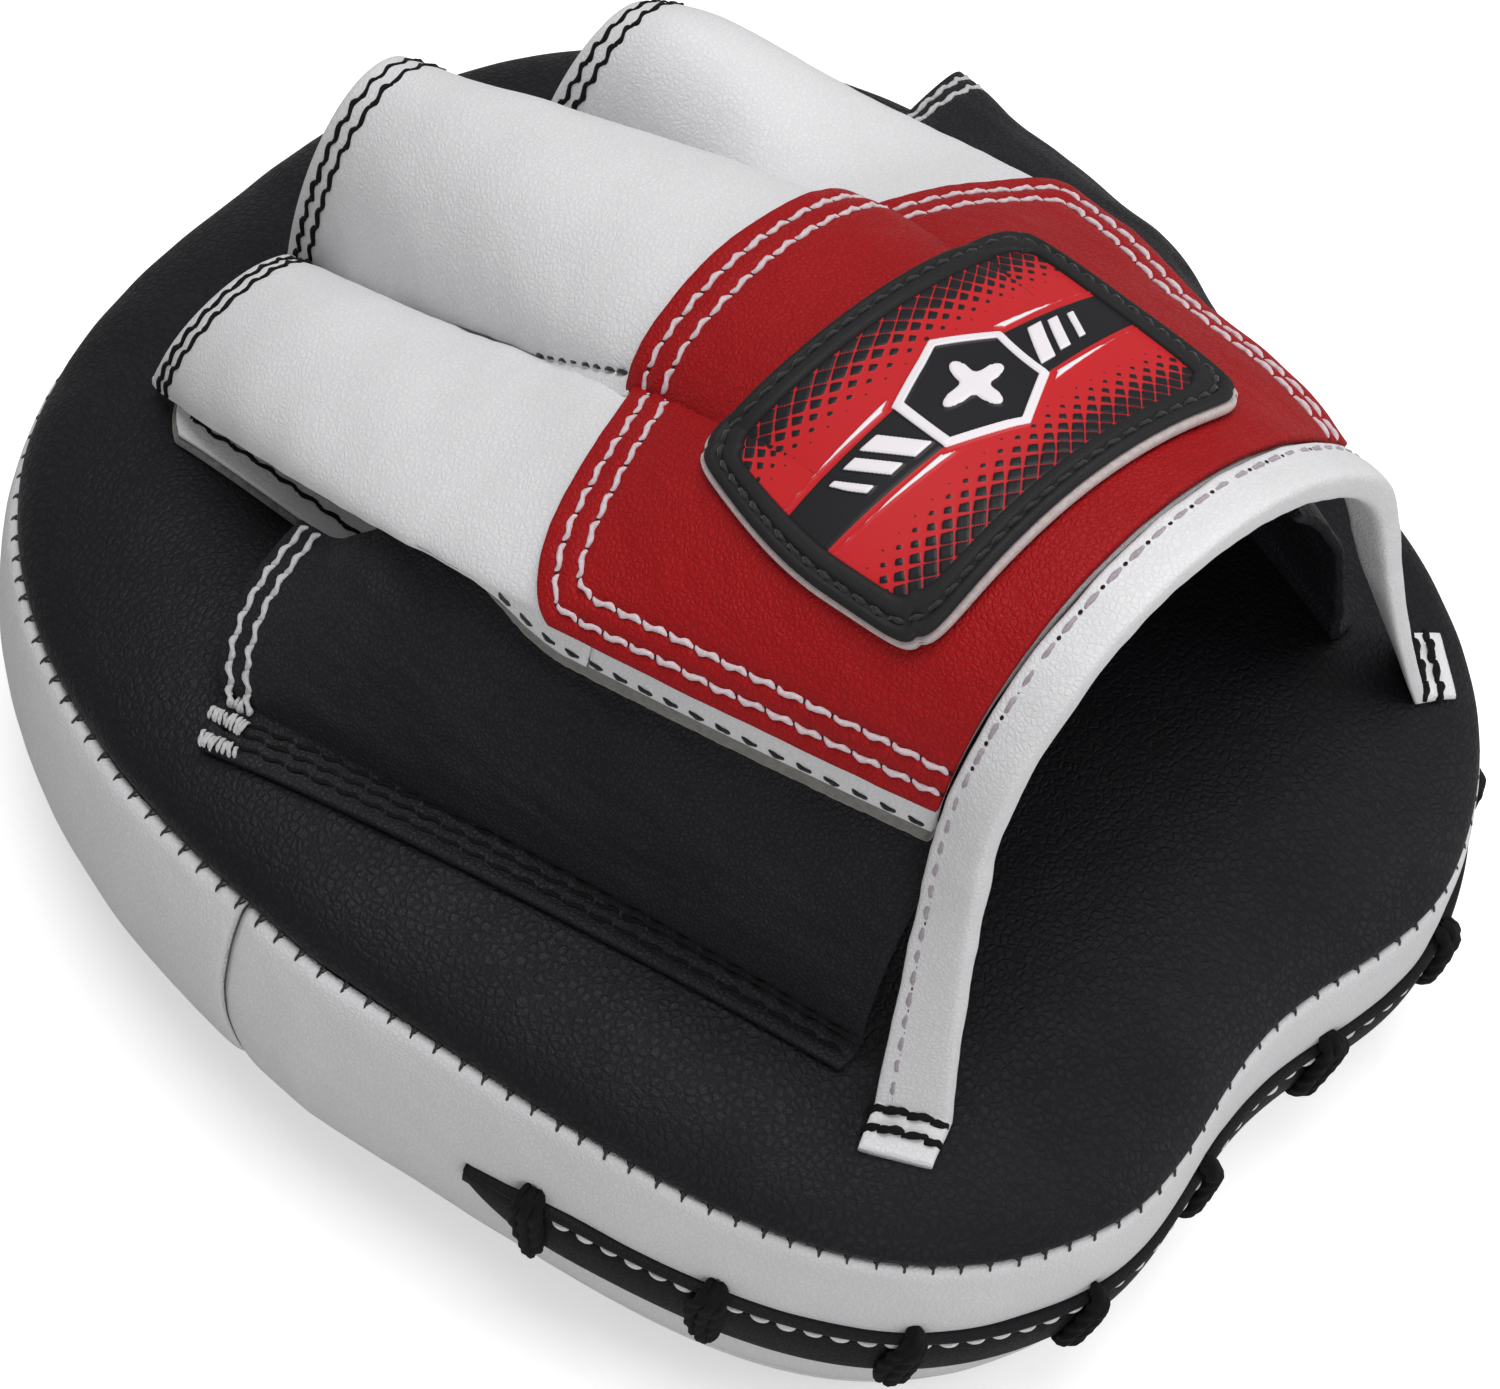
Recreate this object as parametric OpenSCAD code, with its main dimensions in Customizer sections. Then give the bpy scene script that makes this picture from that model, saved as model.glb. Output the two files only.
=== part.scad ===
// Curved focus mitt for boxing and martial arts practice, lying on its striking face.
// The fingers point to +Y, the hand side is up, and Z = 0 is the surface it lies on.

/* [Pad] */
// Length of the pad from the finger end to the wrist end
pad_length = 243; // [232:1:256]
// Width of the pad at its widest
pad_width = 201; // [192:1:214]
// Height of the side wall
rim_height = 52; // [48:1:56]
// Rise of the curved pad between its two ends
bow = 11; // [8:1:15]
// How far the widest place lies towards the fingers from the middle
widest_y = -2; // [-6:1:6]
// How far each long side is drawn in near the wrist
waist = 4.5; // [2:0.5:7]
// Depth of the shallow dip in the wrist end
wrist_dip = 8; // [5:0.5:10]
// Half the width of that dip
dip_half_width = 45; // [38:1:50]
// Height of the rolled crown of the back panel above its seam
crown = 11.5; // [9:0.5:14]
// How far the side wall bulges out at the finger end
wall_bulge = 6; // [4.5:0.5:7]
// How much of that bulge the lace draws in at the wrist end
lace_draw = 3; // [0:0.5:4]
// How far the wall leans to stay square to the curved face, from 0 (upright) to 1
wall_lean = 0.75; // [0.5:0.05:1]
// Gap left between two sewn or stacked layers
layer_gap = 0.3; // [0.2:0.05:0.4]

/* [Leather and foam] */
// Thickness of the leather of the pad's cover
cover_leather = 1.8; // [1.4:0.1:2.2]
// Thickness of the leather of the striking face
face_leather = 2.4; // [2:0.1:3]
// Thickness of the dense foam behind the striking face
impact_foam_t = 22; // [18:1:25]
// Thickness of the shock sheet over the dense foam
shock_sheet_t = 7; // [5:0.5:8]

/* [Side wall and laced slit] */
// Angle of the upright seam on each side, measured round the pad from the finger end
side_seam = 81; // [76:1:86]
// Angle at which the slit starts on each side
slit_start = 109; // [106:1:112]
// Depth of the middle of the slit below the back seam
slit_depth = 21.5; // [20:0.5:24]
// Height of the slit
slit_height = 2; // [1.5:0.5:3]
// Height of the tape that binds the slit's upper edge
upper_tape_height = 2; // [1.5:0.5:3]
// Height of the tape that binds its lower edge
lower_tape_height = 6; // [5:0.5:7]
// Thickness of that tape over the wall
tape_t = 1.4; // [1.2:0.1:1.8]
// Number of lace loops that pull the slit shut
lace_loops = 10; // [8:2:10]
// Angle from the middle of the wrist end to the first loop on each side
lace_first = 7; // [6:0.5:8]
// Angle between the first two loops on a side
lace_step = 14; // [13:0.5:14.5]
// How much that angle grows from each loop to the next
lace_spread = 0.4; // [0:0.1:0.5]
// Diameter of the lace
lace_d = 3; // [2.4:0.2:3.4]

/* [Finger sleeves] */
// Where the hem of the index sleeve lies
index_hem_y = 86; // [82:1:90]
// Where the hem of the middle sleeve lies
middle_hem_y = 89; // [85:1:92]
// Where the hem of the ring sleeve lies
ring_hem_y = 68; // [62:1:76]
// How far a hem leans back at its crown
hem_lean = 5; // [2:1:7]
// Thickness of the leather of a finger sleeve
sleeve_leather = 1.8; // [1.4:0.1:2.2]
// Rise of the index sleeve above its two seams at the hem
index_rise = 17; // [14:1:20]
// Rise of the ring sleeve above its two seams at the hem
ring_rise = 32; // [26:1:36]

/* [Hand compartment] */
// How far the hand compartment's middle lies towards the fingers from the pad's
hand_lead = 5.5; // [3:0.5:8]
// How far it lies towards the little finger's side
hand_x = 3; // [0:0.5:5]
// How far the hand compartment is turned on the pad, its fingers towards the little finger's side
hand_turn = 2.3; // [0:0.1:4]
// Distance from the middle of the compartment to the hems, where the first heights are given
hem_y = 84; // [80:1:88]
// Distance from the pad's wrist end to the cuff
cuff_setback = 43; // [40:1:46]
// Half the width of the hand cover at the hems
edge_half_hem = 50; // [47:1:53]
// Half its width at the knuckles
edge_half_knuckle = 62; // [58:1:65]
// Half its width at the cuff
edge_half_cuff = 46; // [42:1:49]
// Height of its side edges above the highest point of the back seam, at the hems
edge_rise_hem = 7; // [6.5:0.5:10]
// Height of its side edges at the knuckles
edge_rise_knuckle = 54; // [48:1:59]
// Height of its side edges at the cuff
edge_rise_cuff = 66; // [61:1:71]
// Height of its crown at the hems
crown_rise_hem = 50; // [42:1:53]
// Height of its crown at the knuckles
crown_rise_knuckle = 79; // [73:1:85]
// Height of its crown at the cuff
crown_rise_cuff = 100; // [95:1:105]
// How far the crown lies over towards the thumb's side at the cuff
crown_skew = 8; // [0:1:9]
// Half the width of the middle sleeve at its hem
valley_half_hem = 17; // [15:1:19]
// Half the width of the middle finger's ridge at the knuckles
valley_half_knuckle = 25; // [22:1:27]
// Height of the valleys beside the middle sleeve at the hems
valley_rise_hem = 6.5; // [6:0.5:9]
// Height of the valleys at the knuckles
valley_rise_knuckle = 65; // [59:1:69]
// How far the knuckle panel's corners lie behind the middle of its front edge
panel_sweep = 19; // [15:1:22]
// Thickness of the red knuckle panel
panel_leather = 1.7; // [1.4:0.1:2]
// Thickness of the white leather of the hand cover
hand_leather = 1.5; // [1.2:0.1:1.8]
// Thickness of the felt that stiffens the hand cover
felt_t = 2.4; // [2:0.2:3]
// Thickness of the black lining inside the hand compartment
lining_t = 1; // [0.8:0.1:1.2]
// Height of the white strip that shows below the knuckle panel
strip_height = 8; // [6:0.5:9]
// Thickness of the felt of the palm layer
palm_felt_t = 1.5; // [1.2:0.1:1.8]
// Thickness of the leather of the palm layer
palm_leather_t = 1.2; // [1:0.1:1.4]

/* [Side sleeves] */
// Distance of the front of each side sleeve's flange from the middle line
flange_front_x = 93; // [90:1:95]
// Where that front corner lies along the pad
flange_front_y = 26; // [22:1:30]
// How much nearer the middle line the little finger's flange starts
flange_even = 6; // [4:1:8]
// Distance of the back of each flange from the middle line
flange_back_x = 61; // [58:1:64]
// Width of the flange that is sewn to the back panel
flange_width = 8; // [6:1:10]

/* [Cuff] */
// Width of the cuff binding
binding_width = 9; // [8:0.5:10]
// Half the distance between the feet of the cuff's two legs
leg_x = 59; // [56:1:61]
// How far both feet stand over towards the little finger's side
leg_shift = 4; // [0:1:6]
// How far the leg on the little finger's side stands further back than the other
leg_stagger = 1; // [0:1:4]
// How far the feet of both legs stand behind the arch
leg_rake = 6; // [3:1:8]
// How much wider each leg is at its foot than the binding
foot_flare = 3; // [1:0.5:4]
// Length of the tab that turns out flat at each foot
tab_length = 7; // [6:1:9]

/* [Badge] */
// Mean size of the moulded badge across the hand
badge_width = 67; // [60:1:70]
// How much narrower the badge is at its back than at its front
badge_taper = 2.5; // [0:0.5:4]
// Size of the badge along the hand
badge_length = 49; // [44:1:52]
// How far the badge is turned on the knuckle panel
badge_turn = 3.5; // [0:0.5:6]
// How far its centre lies from the crown towards the little finger's side
badge_x = 2.5; // [0:0.5:4]
// Distance from the middle of the compartment back to the badge's centre
badge_y = 49.5; // [46:0.5:52]
// Thickness of the badge's base
badge_t = 1.4; // [1:0.2:1.8]
// Height of the badge's raised rim above its base
badge_rim_h = 1.2; // [0.8:0.1:1.4]
// Width of that rim
badge_rim_w = 5; // [4:0.5:6]
// Radius of the badge's corners
badge_corner = 7; // [5:1:9]

/* [Hidden] */

half_length = pad_length / 2;
half_width = pad_width / 2;
// Distance from the middle of the compartment to the cuff
cuff_y = half_length - cuff_setback + hand_lead;
// Exponent of the squarer outline at the wrist end
wrist_squareness = 2.8;
// Exponent of the slightly squarer outline at the finger end
finger_squareness = 2.5;
// How far that outline would reach past the pad's length without the dip
wrist_reach = 2.7;
// Exponent of the rolled edge of the back panel
roll_sharpness = 6;
seam_top = rim_height + bow;

// ---- General helpers -------------------------------------------------------------------------

function mix(a, b, t) = a * (1 - t) + b * t;
function clamp(x, lo, hi) = max(lo, min(hi, x));
function ease(t) = t * t * (3 - 2 * t);
function unit(v) = v / max(norm(v), 1e-9);

// Smooth curve through three values, at the hems, the knuckles and the cuff
function through(hem, knuckle, cuff, y) =
    hem * y * (y + cuff_y) / (hem_y * (hem_y + cuff_y))
    - knuckle * (y - hem_y) * (y + cuff_y) / (hem_y * cuff_y)
    + cuff * (y - hem_y) * y / (cuff_y * (hem_y + cuff_y));

// Normal of a grid of points at one of them
function grid_normal(g, i, j) =
    let (i0 = max(0, i - 1), i1 = min(len(g) - 1, i + 1),
         j0 = max(0, j - 1), j1 = min(len(g[0]) - 1, j + 1))
    unit(cross(g[i1][j] - g[i0][j], g[i][j1] - g[i][j0]));

// The same grid moved along its normals
function lifted(g, d) =
    [for (i = [0:len(g) - 1]) [for (j = [0:len(g[0]) - 1]) g[i][j] + d * grid_normal(g, i, j)]];

// Closed solid between two grids of the same size, where keep says so; the normals of the first
// grid point out of it
module between(a, b, keep = function (i, j) true) {
    rows = len(a) - 1;
    cols = len(a[0]);
    n = (rows + 1) * cols;
    function kept(i, j) = i >= 0 && i < rows && j >= 0 && j < cols - 1 && keep(i, j);
    cells = [for (i = [0:rows - 1]) for (j = [0:cols - 2]) if (keep(i, j)) [i, j]];
    top = [for (c = cells) let (p = c[0] * cols + c[1])
        each [[p, p + cols + 1, p + cols], [p, p + 1, p + cols + 1]]];
    bottom = [for (f = top) [f[0] + n, f[2] + n, f[1] + n]];
    function side(p, q) = [[q, p, p + n], [q, p + n, q + n]];
    sides = [for (c = cells)
        let (i = c[0], j = c[1], p00 = i * cols + j, p01 = p00 + 1, p10 = p00 + cols, p11 = p10 + 1)
        each concat(kept(i - 1, j) ? [] : side(p00, p01), kept(i, j + 1) ? [] : side(p01, p11),
                    kept(i + 1, j) ? [] : side(p11, p10), kept(i, j - 1) ? [] : side(p10, p00))];
    polyhedron(points = concat([for (r = a) each r], [for (r = b) each r]),
               faces = concat(top, bottom, sides), convexity = 8);
}

// A sheet whose outer face is the grid and whose thickness goes inwards
module sheet(g, t) between(g, lifted(g, -t));

// Round bar of diameter d along a path
module bar(path, d, sides = 6) {
    m = len(path);
    dirs = [for (i = [0:m - 1]) unit(path[min(m - 1, i + 1)] - path[max(0, i - 1)])];
    rings = [for (i = [0:m - 1])
        let (u = unit(cross(dirs[i], [0.1, 0.2, 1])), w = cross(dirs[i], u))
        [for (k = [0:sides - 1]) path[i] + d / 2 * (u * cos(k * 360 / sides) + w * sin(k * 360 / sides))]];
    polyhedron(points = [for (r = rings) each r],
               faces = concat([[for (k = [0:sides - 1]) k]],
                              [for (i = [0:m - 2]) for (k = [0:sides - 1])
                                  let (p = i * sides, j = (k + 1) % sides)
                                  each [[p + k, p + sides + k, p + sides + j],
                                        [p + k, p + sides + j, p + j]]],
                              [[for (k = [sides - 1:-1:0]) (m - 1) * sides + k]]), convexity = 4);
}

// ---- The pad's outline and surfaces ----------------------------------------------------------

// Point of the outline in the direction a, measured round from the finger end
function rim(a) =
    let (s = sin(a), c = cos(a), wrist = half_length + widest_y + wrist_reach)
    c >= 0 ?
        let (r = pow(pow(c / (half_length - widest_y), finger_squareness)
                     + pow(abs(s) / half_width, finger_squareness), -1 / finger_squareness))
        [r * s, widest_y + r * c]
    :
        let (r = pow(pow(-c / wrist, wrist_squareness) + pow(abs(s) / half_width, wrist_squareness),
                     -1 / wrist_squareness),
             x = r * s * (1 - waist / half_width * sin(180 * min(1, -r * c / wrist))),
             dip = abs(x) < dip_half_width ? pow(cos(90 * x / dip_half_width), 2) : 0)
        [x, widest_y + r * c + wrist_dip * dip];

centre = [0, widest_y];

// Height of the back seam at y
function seam_z(y) = rim_height + bow * (1 - pow(y / half_length, 2));

// How far out a point lies, from 0 at the middle to 1 on the outline
function reach(x, y) =
    let (d = [x, y] - centre)
    norm(d) < 0.01 ? 0 : norm(d) / norm(rim(atan2(d[0], d[1])) - centre);

function crown_at(s) = crown * sqrt(max(0, 1 - pow(s, roll_sharpness)));

// Top of the back panel
function back_z(x, y) = seam_z(y) + crown_at(min(1, reach(x, y)));

// How far a point of the wall moves along Y, so that the wall stands square to the curved face
function lean(y, depth) = -wall_lean * max(0, depth) * 2 * bow * y / pow(half_length, 2);

// Point of the side wall's outer face, at a depth below the seam and out from the outline
function wall_point(a, depth, out = 0) =
    let (p = rim(a), d = unit(p - centre))
    [p[0] + d[0] * out, p[1] + d[1] * out + lean(p[1], depth), seam_z(p[1]) - depth];

// How far the wall bulges at an angle and a depth; the lace draws it in towards the wrist end
function bulge(a, depth) =
    (wall_bulge - lace_draw * ease(clamp(-cos(a) + lace_draw_start, 0, 1)))
    * pow(sin(180 * clamp(depth / rim_height, 0, 1)), bulge_fullness);
lace_draw_start = 0.2;
bulge_fullness = 0.7;

outline_steps = 44;
ring_at = [0.38, 0.7, 0.88, 0.96, 1];

// Disc-shaped layer between two heights that depend on the ring; inset draws its edge in
module layer(top, bottom, inset) {
    n = outline_steps;
    rings = len(ring_at);
    angles = [for (i = [0:n - 1]) i * 360 / n];
    function at(a, s, depth) =
        let (p = wall_point(a, depth), c = [0, widest_y + lean(widest_y, depth)],
             d = [p[0], p[1]] - c, k = s * (norm(d) - inset) / norm(d))
        [c[0] + d[0] * k, c[1] + d[1] * k,
         seam_z(centre[1] + (rim(a)[1] - centre[1]) * k) - depth];
    function skin(h) = concat([[0, widest_y + lean(widest_y, -h(0)), seam_z(widest_y) + h(0)]],
        [for (s = ring_at) for (a = angles) at(a, s, -h(s))]);
    count = 1 + n * rings;
    fan = [for (i = [0:n - 1]) [0, 1 + i, 1 + (i + 1) % n]];
    belts = [for (r = [0:rings - 2]) for (i = [0:n - 1])
        let (p = 1 + r * n, q = p + n, j = (i + 1) % n)
        each [[p + i, q + i, q + j], [p + i, q + j, p + j]]];
    down = concat(fan, belts);
    rim_row = count - n;
    sides = [for (i = [0:n - 1])
        let (p = rim_row + i, q = rim_row + (i + 1) % n)
        each [[p, p + count, q + count], [p, q + count, q]]];
    polyhedron(points = concat(skin(top), skin(bottom)),
               faces = concat(down, [for (f = down) [f[0] + count, f[2] + count, f[1] + count]],
                              sides), convexity = 6);
}

face_top = -rim_height + face_leather;
foam_top = face_top + layer_gap + impact_foam_t;
shock_top = foam_top + layer_gap + shock_sheet_t;

module striking_face()
    color("whitesmoke")
        layer(function (s) face_top, function (s) -rim_height, 0);

module impact_foam()
    color("dimgray")
        layer(function (s) foam_top, function (s) face_top + layer_gap,
              cover_leather + layer_gap);

module shock_sheet()
    color("steelblue")
        layer(function (s) shock_top, function (s) foam_top + layer_gap,
              cover_leather + layer_gap);

module back_foam()
    color("gray")
        layer(function (s) crown_at(s) - cover_leather - layer_gap, function (s) shock_top + layer_gap,
              cover_leather + layer_gap);

module back_panel()
    color("#1c1c1e")
        layer(function (s) crown_at(s), function (s) crown_at(s) - cover_leather, 0);

// ---- The side wall, its slit and the lace ----------------------------------------------------

wall_top = cover_leather + layer_gap;
wall_bottom = rim_height - face_leather - layer_gap;
slit_top = slit_depth - slit_height / 2;
slit_bottom = slit_depth + slit_height / 2;
wall_rows = [wall_top, mix(wall_top, slit_top, 0.3), mix(wall_top, slit_top, 0.7),
             slit_top, slit_bottom, wall_bottom];
wall_step = 6;
seam_gap_angle = 0.2;

function angles(from, to) =
    let (n = ceil((to - from) / wall_step)) [for (i = [0:n]) mix(from, to, i / n)];

function wall_grid(list, rows, out = 0) =
    [for (a = list) [for (d = rows) wall_point(a, d, bulge(a, d) + out)]];

module finger_end_wall() {
    list = angles(-side_seam + seam_gap_angle, side_seam - seam_gap_angle);
    color("white") between(wall_grid(list, wall_rows), wall_grid(list, wall_rows, -cover_leather));
}

// The wrist end's wall is one piece of leather with the slit cut in it
module wrist_end_wall() {
    list = concat(angles(side_seam + seam_gap_angle, slit_start),
                  [for (a = angles(slit_start, 360 - slit_start)) if (a > slit_start) a],
                  [for (a = angles(360 - slit_start, 360 - side_seam - seam_gap_angle))
                      if (a > 360 - slit_start) a]);
    slit_row = 3;
    function solid_cell(i, j) =
        j != slit_row || list[i] < slit_start - 0.01 || list[i] > 360 - slit_start - 0.01;
    color("white")
        between(wall_grid(list, wall_rows), wall_grid(list, wall_rows, -cover_leather),
                function (i, j) solid_cell(i, j));
}

// Tape folded over one edge of the slit, between two depths
module slit_tape(from, to) {
    list = angles(slit_start - tape_overrun, 360 - slit_start + tape_overrun);
    rows = [from, to];
    color("#141415")
        between(wall_grid(list, rows, layer_gap + tape_t), wall_grid(list, rows, layer_gap));
}

// Angle by which the tapes run on past each end of the slit
tape_overrun = 1;

module upper_slit_tape() slit_tape(slit_top - upper_tape_height, slit_top);
module lower_slit_tape() slit_tape(slit_bottom, slit_bottom + lower_tape_height);

// One loop of lace, from above the upper tape to below the lower one
module lace_loop(a) {
    points = [for (s = [-1:0.25:1])
        let (depth = mix(slit_top - upper_tape_height - lace_above,
                         slit_bottom + lower_tape_height + lace_below, (s + 1) / 2),
             over = tape_t * min(1, 3 * (1 - abs(s))) + layer_gap)
        wall_point(a, depth, bulge(a, depth) + layer_gap + over + lace_d / 2)];
    bar(points, lace_d);
}

// How far each loop reaches past the tapes
lace_above = 3;
lace_below = 2;

module rim_lace()
    color("#101011")
        for (side = [-1, 1])
            for (k = [0:lace_loops / 2 - 1])
                lace_loop(180 + side * (lace_first + k * lace_step + k * (k - 1) / 2 * lace_spread));

// ---- The hand compartment --------------------------------------------------------------------

// Sets the hand compartment on the pad: from here on, x and y start at its own middle
module on_pad() translate([hand_x, hand_lead, 0]) rotate([0, 0, -hand_turn]) children();

// Top of the back panel under a point of the compartment
function base_z(x, y) =
    back_z(hand_x + x * cos(hand_turn) + y * sin(hand_turn),
           hand_lead - x * sin(hand_turn) + y * cos(hand_turn));

palm_t = palm_felt_t + palm_leather_t + 3 * layer_gap;
function palm_top(x, y) = base_z(x, y) + palm_t;

function edge_x(y) = through(edge_half_hem, edge_half_knuckle, edge_half_cuff, y);
function valley_x(y) = through(valley_half_hem, valley_half_knuckle, valley_half_hem, y);
function above(x, y, rise) = max(seam_top + rise, palm_top(x, y));
function edge_z(y) =
    above(edge_x(y), y, through(edge_rise_hem, edge_rise_knuckle, edge_rise_cuff, y));
function valley_z(y) =
    above(valley_x(y), y,
          through(valley_rise_hem, valley_rise_knuckle, crown_rise_cuff - hand_dome, y));
function crown_z(y) = seam_top + through(crown_rise_hem, crown_rise_knuckle, crown_rise_cuff, y);
// Drop from the crown to the valley lines where they have died out at the cuff
hand_dome = 6;
// Rise of a side finger above the line from its edge to its valley, behind the hems
thumb_side_swell = 5;
little_side_swell = 3;
function side_swell(v) = v < 0 ? thumb_side_swell : little_side_swell;
// Distance behind the knuckles at which the valleys have died out
valley_fade = 55;

// Turn of the arc from the crown to each edge over the back of the hand, which is fuller on the
// thumb's side
thumb_turn = 78;
little_turn = 25;

// Point of the hand compartment's outer face: v runs from -1 at the thumb side to 1
function hand_point(y, v, swell) =
    let (q = abs(v), side = v < 0 ? -1 : 1, f = ease(clamp(-y / valley_fade, 0, 1)),
         rise = swell == undef ? side_swell(v) : swell,
         edge = [edge_x(y), edge_z(y)], valley = [valley_x(y), valley_z(y)], w = 90 * (6 * q - 4) / 2,
         finger = q <= 1 / 3 ?
             [valley[0] * sin(270 * q), mix(valley[1], crown_z(y), cos(270 * q))]
             : (edge + valley) / 2 + [(edge[0] - valley[0]) / 2, (edge[1] - valley[1]) / 2] * sin(w)
               + [0, rise * cos(w)],
         turn = side < 0 ? thumb_turn : little_turn,
         dome = [mix(-crown_skew, side * edge[0], sin(turn * q) / sin(turn)),
                 mix(edge[1], crown_z(y), (cos(turn * q) - cos(turn)) / (1 - cos(turn)))],
         p = mix([side * finger[0], finger[1]], dome, f))
    [p[0], y, p[1]];

// Point of the strip that hangs from the hand compartment's edge
function strip_point(y, side, drop) =
    [side * (edge_x(y) + strip_spread * drop), y, edge_z(y) - drop];
// How far the strip spreads outwards for its drop
strip_spread = 0.1;
// Where the strip starts at the sleeves and where it has its full height
strip_start_y = 30;
strip_full_y = -4;
function strip_drop(y) =
    strip_height * ease(clamp((strip_start_y - y) / (strip_start_y - strip_full_y), 0, 1));

// Columns of the grids on each side of the crown, which three fingers share
across = 12;
finger = across / 3;
// Front edge of the knuckle panel, which leads the knuckles at the crown
panel_lead = 3;
panel_curve = 1.6;
function panel_front(v) = panel_lead - panel_sweep * pow(abs(v), panel_curve);
// How far the sleeves' ends reach back under the knuckle panel
tuck = 6;

// Grid of one finger sleeve, from its hem to under the knuckle panel
function sleeve_grid(from, to, hem, rise) =
    [for (i = [0:sleeve_rows]) let (t = i / sleeve_rows)
        [for (k = [from:to])
            let (v = clamp(k / across, (from + valley_seam) / across, (to - valley_seam) / across),
                 round_up = cos(180 * ((k - from) / (to - from) - 0.5)),
                 y = mix(hem - hem_lean * round_up, panel_front(v) - tuck, t))
            hand_point(y, v, mix(rise, side_swell(v), ease(min(1, swell_speed * t))))]];
sleeve_rows = 7;
// Part of a column that each sleeve leaves free at a valley
valley_seam = 0.12;
// How soon behind the hem a sleeve takes the compartment's own swell
swell_speed = 1.3;

function with_strips(g, low, high) =
    [for (row = g) let (low_y = row[0][1], high_y = row[len(row) - 1][1])
        concat(low ? [strip_point(low_y, -1, strip_drop(low_y) + strip_least)] : [], row,
               high ? [strip_point(high_y, 1, strip_drop(high_y) + strip_least)] : [])];
strip_least = 0.4;

module index_sleeve()
    color("white")
        sheet(with_strips(sleeve_grid(-across, -finger, index_hem_y, index_rise), true, false),
              sleeve_leather);

module middle_sleeve()
    color("white") sheet(sleeve_grid(-finger, finger, middle_hem_y, 0), sleeve_leather);

module ring_sleeve()
    color("white")
        sheet(with_strips(sleeve_grid(finger, across, ring_hem_y, ring_rise), false, true),
              sleeve_leather);

// Rows of the hand compartment from behind the sleeves to the cuff
cover_rows = 8;
function cover_grid(drop, back) =
    [for (i = [0:cover_rows]) let (t = i / cover_rows,
         edge_y = mix(panel_front(1) - cover_start, -back, t))
        concat([strip_point(edge_y, -1, drop)],
               [for (k = [-across:across])
                   let (v = k / across) hand_point(mix(panel_front(v) - cover_start, -back, t), v)],
               [strip_point(edge_y, 1, drop)])];
cover_start = tuck + layer_gap;

// The layers stop short of the cuff binding, the inner ones more because they lean back
outer_stop = 0.8;
inner_stop = 1.4;
panel_back = cuff_y - outer_stop;
inner_back = cuff_y - inner_stop;

module hand_cover() color("white") sheet(cover_grid(strip_height, panel_back), hand_leather);

module cover_felt()
    color("darkgray")
        sheet(lifted(cover_grid(strip_height + felt_shows, inner_back), -hand_leather - layer_gap),
              felt_t);
// How far the felt's raw edge shows below the white strip
felt_shows = 1.5;

module hand_lining()
    color("#202022")
        sheet(lifted(cover_grid(lining_drop, inner_back), -hand_leather - felt_t - 3 * layer_gap),
              lining_t);
// How far the lining reaches down inside the side edges
lining_drop = 2;

// Share of the cover's width that the knuckle panel takes
panel_share = 0.985;

module knuckle_panel() {
    g = [for (i = [0:cover_rows]) [for (k = [-across:across])
        let (v = k / across * panel_share)
            hand_point(mix(panel_front(v), -panel_back, i / cover_rows), v)]];
    color("#a81c22") between(lifted(g, layer_gap + panel_leather), lifted(g, layer_gap));
}

// ---- The palm layer and the gussets between the fingers --------------------------------------

// How far the palm layer shows in front of the hems and beside the index sleeve
palm_lead = 6;
palm_show = 4;
palm_front = hem_y + palm_lead;
palm_back = -30;
palm_half_front = edge_half_hem + palm_show;
palm_half_back = edge_half_hem;

function palm_grid(height) =
    [for (i = [0:palm_rows]) let (t = i / palm_rows)
        [for (k = [-palm_columns:palm_columns])
            let (u = k / palm_columns, x = u * mix(palm_half_front, palm_half_back, t),
                 y = mix(palm_front, palm_back, t) - palm_sweep * pow(u, 2) * (1 - t))
            [x, y, base_z(x, y) + height]]];
palm_rows = 8;
palm_columns = 5;
// How far the corners of the palm layer's front edge lie behind its middle
palm_sweep = 11;

module palm_felt()
    color("darkgray") between(palm_grid(layer_gap + palm_felt_t), palm_grid(layer_gap));

module palm_leather()
    color("white")
        between(palm_grid(2 * layer_gap + palm_felt_t + palm_leather_t),
                palm_grid(2 * layer_gap + palm_felt_t));

// Upright strips that join the valleys between the fingers to the palm layer
function gusset_line(side, y, out) =
    let (x = side * valley_x(y) + out * gusset_t / 2, z = palm_top(x, y))
    [[x, y, z], [x, y, max(z + gusset_least, valley_z(y) - gusset_drop)]];

module finger_gussets() {
    ys = [for (i = [0:gusset_rows]) mix(gusset_front, gusset_back, i / gusset_rows)];
    color("white")
        for (side = [-1, 1])
            between([for (y = ys) gusset_line(side, y, -1)], [for (y = ys) gusset_line(side, y, 1)]);
}
gusset_rows = 5;
gusset_front = 66;
gusset_back = 20;
gusset_t = 1.4;
// How far a gusset ends below the valley it holds, and its least height
gusset_drop = 2.6;
gusset_least = 0.2;

// ---- The side sleeves ------------------------------------------------------------------------

side_rows = 8;
side_hem_top_y = 37;
// Width of the flange at the cuff, and how much nearer the fingers its inner edge starts
flange_end = 3;
flange_turn = 4;
// The sleeve's upper edge: first outside the compartment's edge, then inside under the strip
side_top_out = 1;
side_top_in = 10.5;
side_tuck_start = 30;
side_tuck_end = 5;
// How far the upper edge hangs below the compartment's edge, first and last
side_top_drop = 9;
side_top_rise = 4;
side_top_blend = 20;
// How full the sleeve's curve is from its flange to its upper edge, out and up
side_knee_in = 0.1;
side_knee_up = 0.62;

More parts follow.
